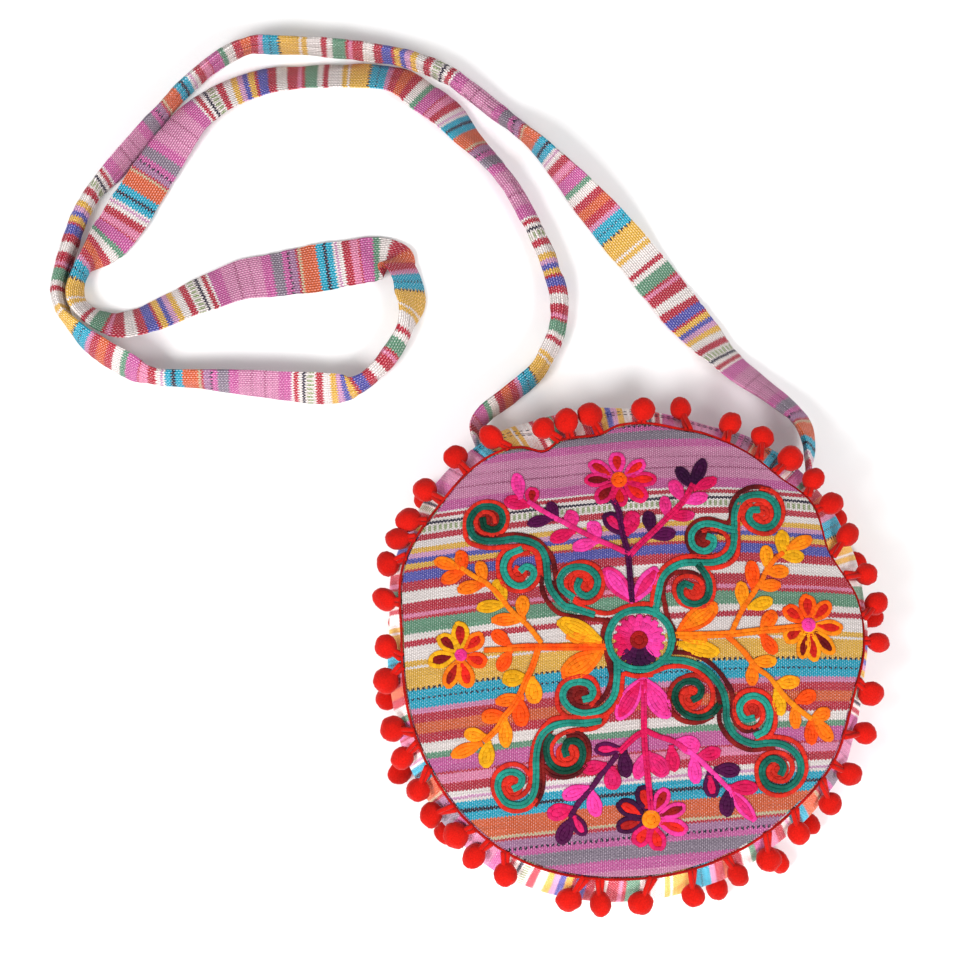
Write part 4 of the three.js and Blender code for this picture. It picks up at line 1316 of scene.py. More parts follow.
class TreePen(NodePen):
    """Adds nodes to a geometry tree with named inputs."""

    def __init__(self, name, inputs, output):
        super().__init__(bpy.data.node_groups.new(name, "GeometryNodeTree"))
        self.sockets = {}
        for label, kind in inputs:
            socket = self.tree.interface.new_socket(label, in_out="INPUT", socket_type=kind)
            self.sockets[label] = socket.identifier
        self.tree.interface.new_socket(output, in_out="OUTPUT", socket_type="NodeSocketGeometry")
        self.given = self.tree.nodes.new("NodeGroupInput")
        self.result = self.tree.nodes.new("NodeGroupOutput")

    def attribute(self, name, kind):
        return self.node("GeometryNodeInputNamedAttribute", {"Name": name}, data_type=kind).outputs[0]

    def random_vector(self, least, most):
        made = self.node("FunctionNodeRandomValue", data_type="FLOAT_VECTOR")
        made.inputs[0].default_value = least
        made.inputs[1].default_value = most
        self.feed(made.inputs["Seed"], self.given.outputs["Seed"])
        return made.outputs[0]


# How unevenly stitches and pompoms come out: least and greatest share of their size along each axis
SMALLEST_STITCH = (0.9, 0.92, 0.85)
LARGEST_STITCH = (1.1, 1.08, 1.15)
SMALLEST_POMPOM = (0.86, 0.82, 0.82)
LARGEST_POMPOM = (1.1, 1.14, 1.14)


def stitch_tree():
    """Geometry tree that lays one stitch shape after another along paths on a surface."""
    pen = TreePen(
        "stitches_along_paths",
        [
            ("Paths", "NodeSocketGeometry"),
            ("Stitch", "NodeSocketObject"),
            ("Spacing", "NodeSocketFloat"),
            ("Stitch Size", "NodeSocketVector"),
            ("Seed", "NodeSocketInt"),
            ("Material", "NodeSocketMaterial"),
        ],
        "Stitches",
    )
    given = pen.given.outputs
    curves = pen.node("GeometryNodeMeshToCurve", {"Mesh": given["Paths"]})
    points = pen.node(
        "GeometryNodeCurveToPoints",
        {"Curve": curves.outputs[0], "Length": given["Spacing"]},
        mode="LENGTH",
    )
    normal = pen.attribute("surface_normal", "FLOAT_VECTOR")
    ahead = pen.node("FunctionNodeAlignRotationToVector", {"Vector": points.outputs["Tangent"]}, axis="X")
    lying = pen.node(
        "FunctionNodeAlignRotationToVector",
        {"Rotation": ahead.outputs[0], "Vector": normal},
        axis="Z",
        pivot_axis="X",
    )
    stitch = pen.node("GeometryNodeObjectInfo", {"Object": given["Stitch"]}, transform_space="ORIGINAL")
    scale = pen.product(given["Stitch Size"], pen.random_vector(SMALLEST_STITCH, LARGEST_STITCH))
    row_width = pen.attribute("row_width", "FLOAT")
    widen = pen.node("ShaderNodeCombineXYZ", {"X": 1.0, "Y": row_width, "Z": 1.0})
    laid = pen.node(
        "GeometryNodeInstanceOnPoints",
        {
            "Points": points.outputs["Points"],
            "Instance": stitch.outputs["Geometry"],
            "Rotation": lying.outputs[0],
            "Scale": pen.product(scale, widen.outputs[0]),
        },
    )
    random_shade = pen.node("FunctionNodeRandomValue", data_type="FLOAT")
    pen.feed(random_shade.inputs["Seed"], given["Seed"])
    shaded = pen.node("GeometryNodeStoreNamedAttribute", data_type="FLOAT", domain="INSTANCE")
    pen.feed(shaded.inputs["Geometry"], laid.outputs[0])
    pen.feed(shaded.inputs["Name"], "shade")
    pen.feed(shaded.inputs["Value"], random_shade.outputs[1])
    finish_tree(pen, shaded.outputs[0])
    return pen


def finish_tree(pen, geometry):
    """End a geometry tree with realized instances, smooth faces and the material."""
    real = pen.node("GeometryNodeRealizeInstances", {"Geometry": geometry})
    smooth = pen.node("GeometryNodeSetShadeSmooth")
    pen.feed(smooth.inputs["Geometry"], real.outputs[0])
    material = pen.given.outputs["Material"]
    painted = pen.node("GeometryNodeSetMaterial", {"Geometry": smooth.outputs[0], "Material": material})
    pen.feed(pen.result.inputs[0], painted.outputs[0])


def pompom_tree():
    """Geometry tree that sets one woolly ball on each point, each turned and sized a little differently."""
    pen = TreePen(
        "pompoms_on_points",
        [
            ("Points", "NodeSocketGeometry"),
            ("Pompom", "NodeSocketObject"),
            ("Seed", "NodeSocketInt"),
            ("Material", "NodeSocketMaterial"),
        ],
        "Pompoms",
    )
    given = pen.given.outputs
    ball = pen.node("GeometryNodeObjectInfo", {"Object": given["Pompom"]}, transform_space="ORIGINAL")
    girth = pen.attribute("girth", "FLOAT")
    hang = pen.attribute("stem_run", "FLOAT_VECTOR")
    turn = pen.random_vector((0.0, 0.0, 0.0), (2 * math.pi, 0.0, 0.0))
    spread = pen.random_vector(SMALLEST_POMPOM, LARGEST_POMPOM)
    rolled = pen.node("FunctionNodeEulerToRotation")
    pen.feed(rolled.inputs[0], turn)
    rotation = pen.node(
        "FunctionNodeAlignRotationToVector",
        {"Rotation": rolled.outputs[0], "Vector": hang},
        axis="X",
    )
    set_balls = pen.node(
        "GeometryNodeInstanceOnPoints",
        {
            "Points": given["Points"],
            "Instance": ball.outputs["Geometry"],
            "Rotation": rotation.outputs[0],
            "Scale": pen.scaled(spread, girth),
        },
    )
    finish_tree(pen, set_balls.outputs[0])
    return pen


def grown_mesh(holder, pen, values):
    """Run a geometry tree on an object with the given inputs and return the plain mesh it makes."""
    modifier = holder.modifiers.new("grown", "NODES")
    modifier.node_group = pen.tree
    for label, value in values.items():
        modifier[pen.sockets[label]] = value
    settled = bpy.context.evaluated_depsgraph_get()
    mesh = bpy.data.meshes.new_from_object(
        holder.evaluated_get(settled),
        preserve_all_data_layers=True,
        depsgraph=settled,
    )
    holder.modifiers.remove(modifier)
    bpy.data.objects.remove(holder)
    if not mesh.polygons:
        raise RuntimeError(pen.tree.name + " made nothing")
    return mesh


def path_object(name, paths):
    """Edges along paths: stations of place, surface normal and dye, then row width and if it is closed."""
    points, edges, normals, dyes, widths = [], [], [], [], []
    for stations, row_width, closed in paths:
        start = len(points)
        for place, normal, dye in stations:
            points.append(tuple(Vector(place) * MM))
            normals.extend(normal)
            dyes.append(dye)
            widths.append(row_width)
        edges.extend((index, index + 1) for index in range(start, len(points) - 1))
        if closed:
            edges.append((len(points) - 1, start))
    mesh = bpy.data.meshes.new(name)
    mesh.from_pydata(points, edges, [])
    mesh.attributes.new("surface_normal", "FLOAT_VECTOR", "POINT").data.foreach_set("vector", normals)
    mesh.attributes.new("dye", "FLOAT", "POINT").data.foreach_set("value", dyes)
    mesh.attributes.new("row_width", "FLOAT", "POINT").data.foreach_set("value", widths)
    return new_object(name, mesh)


# One stitch of each kind: rows along it as place, half width and height, and a section across it
CHAIN_ROWS = [
    (-0.5, 0.42, 0.7), (-0.28, 0.48, 0.92), (0.02, 0.5, 1.0), (0.3, 0.48, 0.95), (0.5, 0.42, 0.72),
]
CHAIN_SECTION = [
    (-1.0, 0.0), (-0.84, 0.68), (-0.42, 1.0), (0.0, 0.74), (0.42, 1.0), (0.84, 0.68), (1.0, 0.0),
]
GRAIN_ROWS = [(-0.5, 0.15, 0.3), (-0.3, 0.42, 0.85), (0.0, 0.5, 1.0), (0.3, 0.42, 0.85), (0.5, 0.15, 0.3)]
GRAIN_SECTION = [(-1.0, 0.0), (-0.75, 0.7), (0.0, 1.0), (0.75, 0.7), (1.0, 0.0)]
ROPE_SECTION = [
    (-1.0, 0.0), (-0.7, 0.7), (0.0, 1.0), (0.7, 0.7), (1.0, 0.0), (0.7, -0.7), (0.0, -1.0), (-0.7, -0.7),
]


def stitch_shape(name, rows, section, skew=0.0):
    """One closed stitch of unit length, width and height, along X with Z up."""
    points, faces = [], []
    for along, half_width, height in rows:
        for across, rise in section:
            points.append((along + skew * across * half_width, across * half_width, rise * height))
    count = len(section)
    for row in range(len(rows) - 1):
        for column in range(count):
            following = (column + 1) % count
            faces.append((
                row * count + column,
                (row + 1) * count + column,
                (row + 1) * count + following,
                row * count + following,
            ))
    faces.append(tuple(range(count)))
    faces.append(tuple(reversed(range((len(rows) - 1) * count, len(rows) * count))))
    mesh = bpy.data.meshes.new(name)
    mesh.from_pydata(points, [], faces)
    face_outward(mesh)
    return new_object(name, mesh)


def stitched_piece(name, paths, shape, spacing, stitch_size, seed, material):
    """The mesh of a piece made of stitches along paths."""
    return grown_mesh(
        path_object(name + "_paths", paths),
        stitch_tree(),
        {
            "Stitch": shape,
            "Spacing": spacing * MM,
            "Stitch Size": tuple(value * MM for value in stitch_size),
            "Seed": seed,
            "Material": material,
        },
    )


# Strap


STRAP_COLUMNS = 25
STRAP_EDGE_SHARE = 0.5
STRAP_LOWEST = 0.3
WIDEST_GATHER = -0.2

# The visible strap is a little wider and fuller than the plain solid, so that neighbouring runs close up
STRAP_SPREAD = 1.06
GATHERED_RADIUS = 4.9

# Noise over the strap: its rate along the strap, its rate across it, and a place in the noise
WIDE_NOISE = (0.03, 0.8, 3.7)
FINE_NOISE = (0.11, 1.6, 9.1)
WOBBLE_NOISE = (0.06, 4.0, 2.0)
PUCKER_NOISE = (0.31, 6.0, 5.0)
SLANT_NOISE = (0.07, 0.5, 1.3)
SLANT_LEAN = 1.1

# Ripples out of the strap's plane, which a gathered strap has less of, and its cupping
STRAP_RIPPLE = 0.9
WIDE_WEIGHT = 1.1
FINE_WEIGHT = 0.5
SLANT_WEIGHT = 0.7
GATHER_CALM = 0.5
STRAP_CUP = 2.4
CUP_LEVEL = 0.4

# Unevenness of the strap's edges
STRAP_WOBBLE = 1.1
STRAP_PUCKER = 0.5

# The folded edge, and the creases and lumps of a gathered strap
FOLD_POWER = 6
FOLD_LEAST = 0.35
FOLD_GAIN = 0.65
CREASE_DEPTH = 1.5
CREASE_WIDTH = 0.16
CREASE_ALONG = 0.024
CREASE_ACROSS = 1.9
CREASE_SLANT = 0.006
CREASE_SIDES_APART = 7.0
CREASE_EDGE_POWER = 4
LUMP_HEIGHT = 0.5
LUMP_ALONG = 0.16
LUMP_ACROSS = 1.2
LUMP_SIDES_APART = 3.0


def strap_stations():
    """Places along the strap: middle, direction across it, direction it faces, reach and gather."""
    line = smooth_line(STRAP_ROUTE, STRAP_STEPS_PER_ROW)
    half = size("strap_width") / 2 * STRAP_SPREAD
    flat = size("strap_thickness") / 2
    stations = []
    for index, (x, y, lift, roll, gather) in enumerate(line):
        gather = min(max(gather, WIDEST_GATHER), 1.0)
        before = Vector(line[max(index - 1, 0)][:3])
        after = Vector(line[min(index + 1, len(line) - 1)][:3])
        run = (after - before).normalized()
        level = Vector((run.y, -run.x, 0)).normalized()
        rise = level.cross(run).normalized()
        turn = math.radians(roll)
        across = level * math.cos(turn) + rise * math.sin(turn)
        facing = across.cross(run).normalized()
        # A gathered strip settles, so that its underside stays where the flat strip's was
        reach = half + (GATHERED_RADIUS - half) * gather
        swelling = (GATHERED_RADIUS - flat) * gather
        middle = Vector((x, y, lift - (half - reach) * abs(across.z) + swelling * abs(facing.z)))
        stations.append((middle, across, facing, reach, gather))
    return stations


def strap_noise(travel, share, rates):
    """Noise at a distance along the strap and a share of the way across it."""
    along, across, place = rates
    return noise.noise(Vector((travel * along, share * across, place)))


def strap_bow(travel, share, gather):
    """How far the strap's cloth ripples and cups out of its plane at a distance along it."""
    wide = strap_noise(travel, share, WIDE_NOISE)
    fine = strap_noise(travel, share, FINE_NOISE)
    along, across, place = SLANT_NOISE
    slant = noise.noise(Vector((travel * along + share * SLANT_LEAN, share * across, place)))
    ripple = WIDE_WEIGHT * wide + FINE_WEIGHT * fine + SLANT_WEIGHT * slant
    cup = gather * STRAP_CUP * (CUP_LEVEL - share * share)
    return STRAP_RIPPLE * ripple * (1 - GATHER_CALM * gather) + cup


def strap_offset(travel, share, reach):
    """How far across the strap a share of its half width lies, with uneven, puckered edges."""
    side = 1.0 if share > 0 else -1.0
    wobble = STRAP_WOBBLE * strap_noise(travel, side, WOBBLE_NOISE)
    pucker = STRAP_PUCKER * strap_noise(travel, side, PUCKER_NOISE)
    return reach * share + (wobble + pucker) * abs(share)


def strap_half_thickness(travel, share, side, gather):
    """Half the strap's thickness across its width: a thin fold, or a creased roll where it gathers."""
    thickest = size("strap_thickness") / 2
    fold = max(0.0, 1.0 - abs(share) ** FOLD_POWER)
    rounded = STRAP_EDGE_SHARE + (1 - STRAP_EDGE_SHARE) * (1 - share * share)
    flat = thickest * rounded * (FOLD_LEAST + FOLD_GAIN * fold)
    roll = GATHERED_RADIUS * max(0.0, 1 - share * share) ** 0.5
    across = share * CREASE_ACROSS + travel * CREASE_SLANT
    fall = abs(noise.noise(Vector((travel * CREASE_ALONG, across, side * CREASE_SIDES_APART)))) / CREASE_WIDTH
    furrow = CREASE_DEPTH * max(0.0, 1 - fall) * (1 - share**CREASE_EDGE_POWER)
    lump = LUMP_HEIGHT * strap_noise(travel, share, (LUMP_ALONG, LUMP_ACROSS, side * LUMP_SIDES_APART))
    return flat + (roll - flat + (lump - furrow)) * gather


class BAG_OT_strap(bpy.types.Operator):
    """Lay the folded cloth strap on the floor along its route"""

    bl_idname = "bag.make_strap"
    bl_label = "Make Strap"

    def execute(self, context):
        stations = strap_stations()
        half = size("strap_width") / 2
        travels = [0.0]
        for start, end in zip(stations, stations[1:]):
            travels.append(travels[-1] + (end[0] - start[0]).length)
        turns = [math.pi / 2 * (2 * column / (STRAP_COLUMNS - 1) - 1) for column in range(STRAP_COLUMNS)]
        points, places = [], []
        for (middle, across, facing, reach, gather), travel in zip(stations, travels):
            woven = between(STRAP_STRIPES, travel)
            for side, columns in ((1, turns), (-1, list(reversed(turns)))):
                for turn in columns:
                    share = math.sin(turn)
                    out = side * strap_half_thickness(travel, share, side, gather)
                    out += strap_bow(travel, share, gather)
                    point = middle + across * strap_offset(travel, share, reach) + facing * out
                    point.z = max(point.z, STRAP_LOWEST)
                    points.append(point)
                    shown = half * share + (GATHERED_RADIUS * turn - half * share) * gather
                    places.append((shown, woven))
        faces = loft_faces(len(stations), 2 * STRAP_COLUMNS)
        strap = cloth_object("strap_cloth", points, faces, places)
        # The strap's cloth is painted brighter than the panel's, as painted light on its standing faces,
        # which the softboxes barely reach
        cloth = cloth_material(
            "strap_cloth",
            brightness=1.2,
            warp_show=0.44,
            bump_strength=1.0,
            weave_size=1.05,
            jag=0.6,
            valley_shade=0.55,
        )
        strap.data.materials.append(cloth)
        finish_piece(strap, "strap_cloth", "strap")
        size("strap_width") * MM
        return {"FINISHED"}


# Panels


PANEL_RINGS = 46
PANEL_SECTORS = 180
RING_SPREAD_POWER = 0.85


def disc_object(name, upper, lower, edge, place_of):
    """A closed round panel. upper and lower give heights at x and y, edge the radius at a plan angle."""
    points, places, faces = [], [], []
    starts = []
    for height_at in (upper, lower):
        starts.append(len(points))
        points.append(Vector((0, 0, height_at(0, 0))))
        places.append(place_of(0, 0))
        for ring in range(1, PANEL_RINGS + 1):
            share = math.sin(math.pi / 2 * ring / PANEL_RINGS) ** RING_SPREAD_POWER
            for sector in range(PANEL_SECTORS):
                angle = FULL_TURN * sector / PANEL_SECTORS
                flat = plan(angle, edge(angle) * share, 0)
                points.append(Vector((flat.x, flat.y, height_at(flat.x, flat.y))))
                places.append(place_of(flat.x, flat.y))

    def at(start, ring, sector):
        return start + 1 + (ring - 1) * PANEL_SECTORS + sector % PANEL_SECTORS

    for sector in range(PANEL_SECTORS):
        for start in starts:
            faces.append((start, at(start, 1, sector), at(start, 1, sector + 1)))
            for ring in range(1, PANEL_RINGS):
                faces.append((
                    at(start, ring, sector),
                    at(start, ring + 1, sector),
                    at(start, ring + 1, sector + 1),
                    at(start, ring, sector + 1),
                ))
        faces.append((
            at(starts[0], PANEL_RINGS, sector),
            at(starts[1], PANEL_RINGS, sector),
            at(starts[1], PANEL_RINGS, sector + 1),
            at(starts[0], PANEL_RINGS, sector + 1),
        ))
    return cloth_object(name, points, faces, places)


class BAG_OT_panels(bpy.types.Operator):
    """Make the swelling front panel and the flat back panel"""

    bl_idname = "bag.make_panels"
    bl_label = "Make Panels"

    def execute(self, context):
        thickness = size("panel_cloth")
        cloth = cloth_material(
            "panel_cloth",
            brightness=0.82,
            warp_show=0.38,
            bump_strength=0.9,
            weave_size=0.9,
            jag=0.34,
            valley_shade=0.36,
        )
        front = disc_object(
            "front_panel_cloth",
            panel_height,
            lambda x, y: panel_height(x, y) - thickness,
            lambda angle: outline_at(angle, FRONT) - SEAM_GAP,
            lambda x, y: (x, panel_stripe(x, y)),
        )
        back = disc_object(
            "back_panel_cloth",
            lambda x, y: thickness,
            lambda x, y: 0.0,
            lambda angle: outline_at(angle, BACK) - SEAM_GAP,
            lambda x, y: (x, panel_stripe(x, y)),
        )
        for panel, node, column in ((front, "front_panel", FRONT), (back, "back_panel", BACK)):
            panel.data.materials.append(cloth)
            finish_piece(panel, "striped_cloth", node)
        return {"FINISHED"}


# Sides


SIDE_STEP = 1.0
FEWEST_SIDE_STEPS = 8
GUSSET_ROWS = 26
FRONT_BAND_ROWS = 10
BACK_BAND_ROWS = 18

# Gathers of the side cloth fade away from each seam, and the seam itself holds the cloth flat
SEAM_FADE = 0.10
SEAM_HOLD = 0.08
SIDE_GATHER = 1.5
BACK_GATHER_TURN = 31.0

# Slack folds between the seams: height, rate round the bag, rate across it, and a place in the noise
SIDE_FOLD = 1.6
SIDE_FOLD_AROUND = 0.09
SIDE_FOLD_ACROSS = 2.0
SIDE_FOLD_PLACE = 5.0

# The topstitching beside the zip, and the weave of the zip's tape
TOPSTITCH_INSET = 2.0
TOPSTITCH_STEPS = 120
TOPSTITCH_SINK = 0.05
TOPSTITCH_DYE = 0.6
TOPSTITCH_WIDTH = 0.6
TOPSTITCH_LENGTH = 2.1
TOPSTITCH_HEIGHT = 0.35
TOPSTITCH_SEED = 12
TAPE_FIBRE_SCALE = 1800.0


def side_stripe(angle):
    """Place in the stripe repeat on the bottom gusset at a plan angle."""
    return between(SIDE_STRIPES, angle)


def zip_stripe(angle):
    """Place in the stripe repeat on the zip bands at a plan angle."""
    return between(ZIP_STRIPES, angle)


def side_swell(angle, share):
    """How far the side cloth stands out or in, with gathers at the seams and slack folds between."""
    near_front = math.exp(-share / SEAM_FADE)
    near_back = math.exp(-(1 - share) / SEAM_FADE)
    held = min(share, 1 - share) / SEAM_HOLD
    gathers = seam_gathers(angle) * near_front + seam_gathers(angle + BACK_GATHER_TURN) * near_back
    fold = noise.noise(Vector((angle * SIDE_FOLD_AROUND, share * SIDE_FOLD_ACROSS, SIDE_FOLD_PLACE)))
    return size("pucker") * min(1.0, held) * (SIDE_GATHER * gathers + SIDE_FOLD * fold)


def side_place(run, angle, share, depth):
    """A point in the side cloth at a depth under its outside, on the profile at a plan angle."""
    reach, height = run.at(share)
    out_reach, out_height = run.outward(share)
    out = side_swell(angle, share) - depth
    return plan(angle, reach + out_reach * out, height + out_height * out)


def side_band(name, start_angle, end_angle, start_share, end_share, rows, stripe_of):
    """A closed band of side cloth between two plan angles and two shares of the profile."""
    steps = max(FEWEST_SIDE_STEPS, round((end_angle - start_angle) / SIDE_STEP))
    thickness = size("side_cloth")
    shares = [start_share + (end_share - start_share) * row / (rows - 1) for row in range(rows)]
    points, places = [], []
    for step in range(steps + 1):
        angle = start_angle + (end_angle - start_angle) * step / steps
        run = ProfileRun(angle)
        for depth, order in ((0.0, shares), (thickness, list(reversed(shares)))):
            for share in order:
                points.append(side_place(run, angle, share, depth))
                places.append((share * run.total, stripe_of(angle)))
    return cloth_object(name, points, loft_faces(steps + 1, 2 * rows), places)


class BAG_OT_sides(bpy.types.Operator):
    """Make the bottom gusset, the two zip bands with their topstitching, and the hidden zip's tape"""

    bl_idname = "bag.make_sides"
    bl_label = "Make Sides"

    def execute(self, context):
        # The side cloth is painted brighter than the panel's, as painted light on the zip bands and gusset,
        # which lie in shade behind the panel's bulge
        cloth = cloth_material(
            "side_cloth",
            brightness=1.65,
            warp_show=0.46,
            bump_strength=0.9,
            weave_size=0.95,
            jag=0.4,
            valley_shade=0.4,
        )
        middle = ProfileRun(TOP_ANGLE).total
        half_slot = ZIP_SLOT / 2 / middle
        gusset_start = ZIP_LEFT_END + BAND_END_CLEARANCE
        gusset_end = ZIP_RIGHT_END + FULL_TURN - BAND_END_CLEARANCE
        zip_ends = (ZIP_RIGHT_END, ZIP_LEFT_END)
        # Each band's node, the plan angles and shares of the profile it lies between, its rows and stripes
        bands = [
            ("bottom_gusset", gusset_start, gusset_end, 0.0, 1.0, GUSSET_ROWS, side_stripe),
            ("zip_band_front", *zip_ends, 0.0, ZIP_PLACE - half_slot, FRONT_BAND_ROWS, zip_stripe),
            ("zip_band_back", *zip_ends, ZIP_PLACE + half_slot, 1.0, BACK_BAND_ROWS, zip_stripe),
        ]
        for node, start, end, low, high, rows, stripe_of in bands:
            band = side_band(node + "_cloth", start, end, low, high, rows, stripe_of)
            band.data.materials.append(cloth)
            finish_piece(band, "side_cloth", node)
        self.topstitch(middle)
        tape, pen, shader = new_material("zip_tape_weave")
        place = pen.node("ShaderNodeTexCoord").outputs["Object"]
        fibre = pen.noise(place, TAPE_FIBRE_SCALE, FIBRE_DETAIL)
        pen.feed(shader.inputs["Base Color"], pen.mix(fibre, colour("zip_tape"), colour("navy")))
        pen.feed(shader.inputs["Roughness"], pen.range(fibre, *TAPE_ROUGHNESS))
        zip_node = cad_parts["zip"]
        for holder in zip_node.material_slots:
            holder.material = tape
        return {"FINISHED"}

    def topstitch(self, length):
        inset = TOPSTITCH_INSET / length
        paths = []
        for share in (ZIP_PLACE - inset, ZIP_PLACE + inset):
            row = []
            for step in range(TOPSTITCH_STEPS + 1):
                angle = ZIP_RIGHT_END + (ZIP_LEFT_END - ZIP_RIGHT_END) * step / TOPSTITCH_STEPS
                run = ProfileRun(angle)
                place = side_place(run, angle, share, TOPSTITCH_SINK)
                row.append((place, plan(angle, *run.outward(share)), TOPSTITCH_DYE))
            paths.append((row, TOPSTITCH_WIDTH, False))
        shape = stitch_shape("sewing_stitch", GRAIN_ROWS, GRAIN_SECTION)
        thread = yarn_material("zip_sewing_thread", "sewing", "navy")
        stitch_size = (TOPSTITCH_LENGTH, 1.0, TOPSTITCH_HEIGHT)
        spacing = size("topstitch_spacing")
        mesh = stitched_piece("zip_topstitch", paths, shape, spacing, stitch_size, TOPSTITCH_SEED, thread)
        bpy.data.objects.remove(shape)
        finish_piece(new_object("zip_topstitch", mesh), "side_cloth")


# Trims


# How a front pompom is lowered onto the side: start above the seam, step, lowest height and clearance
REST_START = 1.5
REST_STEP = 0.5
REST_LOWEST = 33.0
REST_CLEARANCE = 0.6


def resting_height(angle, reach, radius):
    """The lowest height at which a pompom at that reach clears the side's slope."""
    profile = gusset_profile(angle)
    needed = radius + REST_CLEARANCE
    height = size("seam_height") + REST_START

    def clears(level):
        for (start_reach, start_height), (end_reach, end_height) in zip(profile, profile[1:]):
            along = Vector((end_reach - start_reach, end_height - start_height))
            off = Vector((reach - start_reach, level - start_height))
            share = min(max(off.dot(along) / along.length_squared, 0.0), 1.0)
            if (off - along * share).length < needed:
                return False
        return True

    while height - REST_STEP > REST_LOWEST and clears(height - REST_STEP):
        height -= REST_STEP
    return height


def front_pompoms():
    """Root and middle of each pompom on the front seam, with its radius."""
    placed = []
    radius = size("pompom_radius")
    for angle, reach in FRONT_POMPOMS:
        root_angle = angle + POMPOM_SWAY * math.sin(angle * angle * SWAY_RATE)
        root = plan(root_angle, outline_at(root_angle, FRONT) + BRAID_OFFSET, size("seam_height"))
        placed.append((root, plan(angle, reach, resting_height(angle, reach, radius)), radius))
    return placed


def back_pompoms():
    """Root, middle and radius of each pompom on the back seam: those shown, then those tucked under."""
    placed = []
    radius = size("pompom_radius")
    for angle, reach in BACK_POMPOMS:
        root = plan(angle, outline_at(angle, BACK) + BRAID_OFFSET, BACK_BRAID_HEIGHT)
        placed.append((root, plan(angle, reach, radius + POMPOM_REST), radius))
    angle = TUCKED_SPACING / 2
    tucked = size("tucked_radius")
    while angle < FULL_TURN:
        if all(abs(shown - angle) >= TUCKED_CLEARANCE for shown, _ in BACK_POMPOMS):
            seam = outline_at(angle, BACK)
            root = plan(angle, seam + BRAID_OFFSET, BACK_BRAID_HEIGHT)
            placed.append((root, plan(angle, seam + TUCKED_REACH, tucked + POMPOM_REST), tucked))
        angle += TUCKED_SPACING
    return placed


# Unevenness of a ball of cut wool: rates and heights of its lumps and tufts, and the nose at its stem
POMPOM_SUBDIVISIONS = 4
BALL_LUMP_RATE = 1.6
BALL_LUMP = 0.07
TUFT_RATE = 7.0
TUFT_PLACE = (4.0, 1.0, 2.0)
TUFT = 0.045
NOSE_POWER = 4
NOSE = 0.2


def pompom_shape():
    """A ball of cut wool of unit radius, with uneven tufts and a nose where its stem enters, along X."""
    shaped = bmesh.new()
    bmesh.ops.create_icosphere(shaped, subdivisions=POMPOM_SUBDIVISIONS, radius=1.0)
    for vertex in shaped.verts:
        lump = noise.noise(vertex.co * BALL_LUMP_RATE)
        tuft = noise.noise(vertex.co * TUFT_RATE + Vector(TUFT_PLACE))
        nose = max(0.0, vertex.co.x) ** NOSE_POWER
        vertex.co *= 1.0 + BALL_LUMP * lump + TUFT * tuft + NOSE * nose
    mesh = bpy.data.meshes.new("pompom")
    shaped.to_mesh(mesh)
    shaped.free()
    return new_object("pompom", mesh)


STEM_STRAND = 1.15
STEM_ROOT_SPREAD = 1.15
STEM_TIP_SPREAD = 0.85
STEM_TURN = 0.12
STEM_SIDES = 6
STEM_ROWS = 9


def stem_mesh(pompoms):
    """Two twisted strands from the braid to each pompom."""
    points, faces = [], []
    for root, middle, _ in pompoms:
        axis = (middle - root).normalized()
        sideways = axis.cross(Vector((0, 0, 1))).normalized()
        upward = sideways.cross(axis)
        length = (middle - root).length
        for strand in (0, 1):
            start = len(points)
            for row in range(STEM_ROWS):
                along = length * row / (STEM_ROWS - 1)
                turn = math.pi * strand + along * STEM_TURN
                spread = STEM_ROOT_SPREAD + (STEM_TIP_SPREAD - STEM_ROOT_SPREAD) * row / (STEM_ROWS - 1)
                core = root + axis * along + (sideways * math.cos(turn) + upward * math.sin(turn)) * spread
                for side in range(STEM_SIDES):
                    angle = 2 * math.pi * side / STEM_SIDES
                    rim = sideways * math.cos(angle) + upward * math.sin(angle)
                    points.append((core + rim * STEM_STRAND) * MM)
            rows = loft_faces(STEM_ROWS, STEM_SIDES)
            faces.extend(tuple(start + index for index in face) for face in rows)
    mesh = bpy.data.meshes.new("stems")
    mesh.from_pydata([tuple(point) for point in points], [], faces)
    face_outward(mesh)
    return mesh


# Where the panel's rim rolls over the front braid: plan angle and how far the braid is tucked, from 0 to 1
BRAID_TUCKS = [(0, 0.7), (6, 1.0), (60, 1.0), (74, 0.0), (346, 0.0), (360, 0.7)]
BRAID_TUCK_IN = 0.6
BRAID_TUCK_DOWN = 1.0
BRAID_STEPS = 480
BRAID_DYE = 0.55
BRAID_SPACING = 1.5
BRAID_STRAND = 3.4
FRONT_TRIM_SEED = 21
BACK_TRIM_SEED = 22
WOOL_ROUGHNESS = 0.95
WOOL_SHEEN = 0.12
WOOL_FIBRE_SCALE = 1500.0
WOOL_BUMP = 1.0


def pompom_mesh(name, pompoms, ball, seed, wool):
    """The balls of one trim, each on the end of its stem."""
    points = bpy.data.meshes.new(name)
    points.from_pydata([tuple(middle * MM) for _, middle, _ in pompoms], [], [])
    girths = points.attributes.new("girth", "FLOAT", "POINT")
    girths.data.foreach_set("value", [radius * MM for _, _, radius in pompoms])
    runs = points.attributes.new("stem_run", "FLOAT_VECTOR", "POINT")
    runs.data.foreach_set("vector", [part for root, middle, _ in pompoms for part in (root - middle)])
    holder = new_object(name, points)
    return grown_mesh(holder, pompom_tree(), {"Pompom": ball, "Seed": seed, "Material": wool})


def braid_ring(seam, height):
    """Stations of the braid round one seam, tucked in where the front panel rolls over it."""
    ring = []
    for step in range(BRAID_STEPS):
        angle = FULL_TURN * step / BRAID_STEPS
        hidden = between(BRAID_TUCKS, angle) if seam == FRONT else 0.0
        reach = outline_at(angle, seam) + BRAID_OFFSET - BRAID_TUCK_IN * hidden
        place = plan(angle, reach, height - BRAID_TUCK_DOWN * hidden)
        ring.append((place, Vector((0, 0, 1)), BRAID_DYE))
    return ring


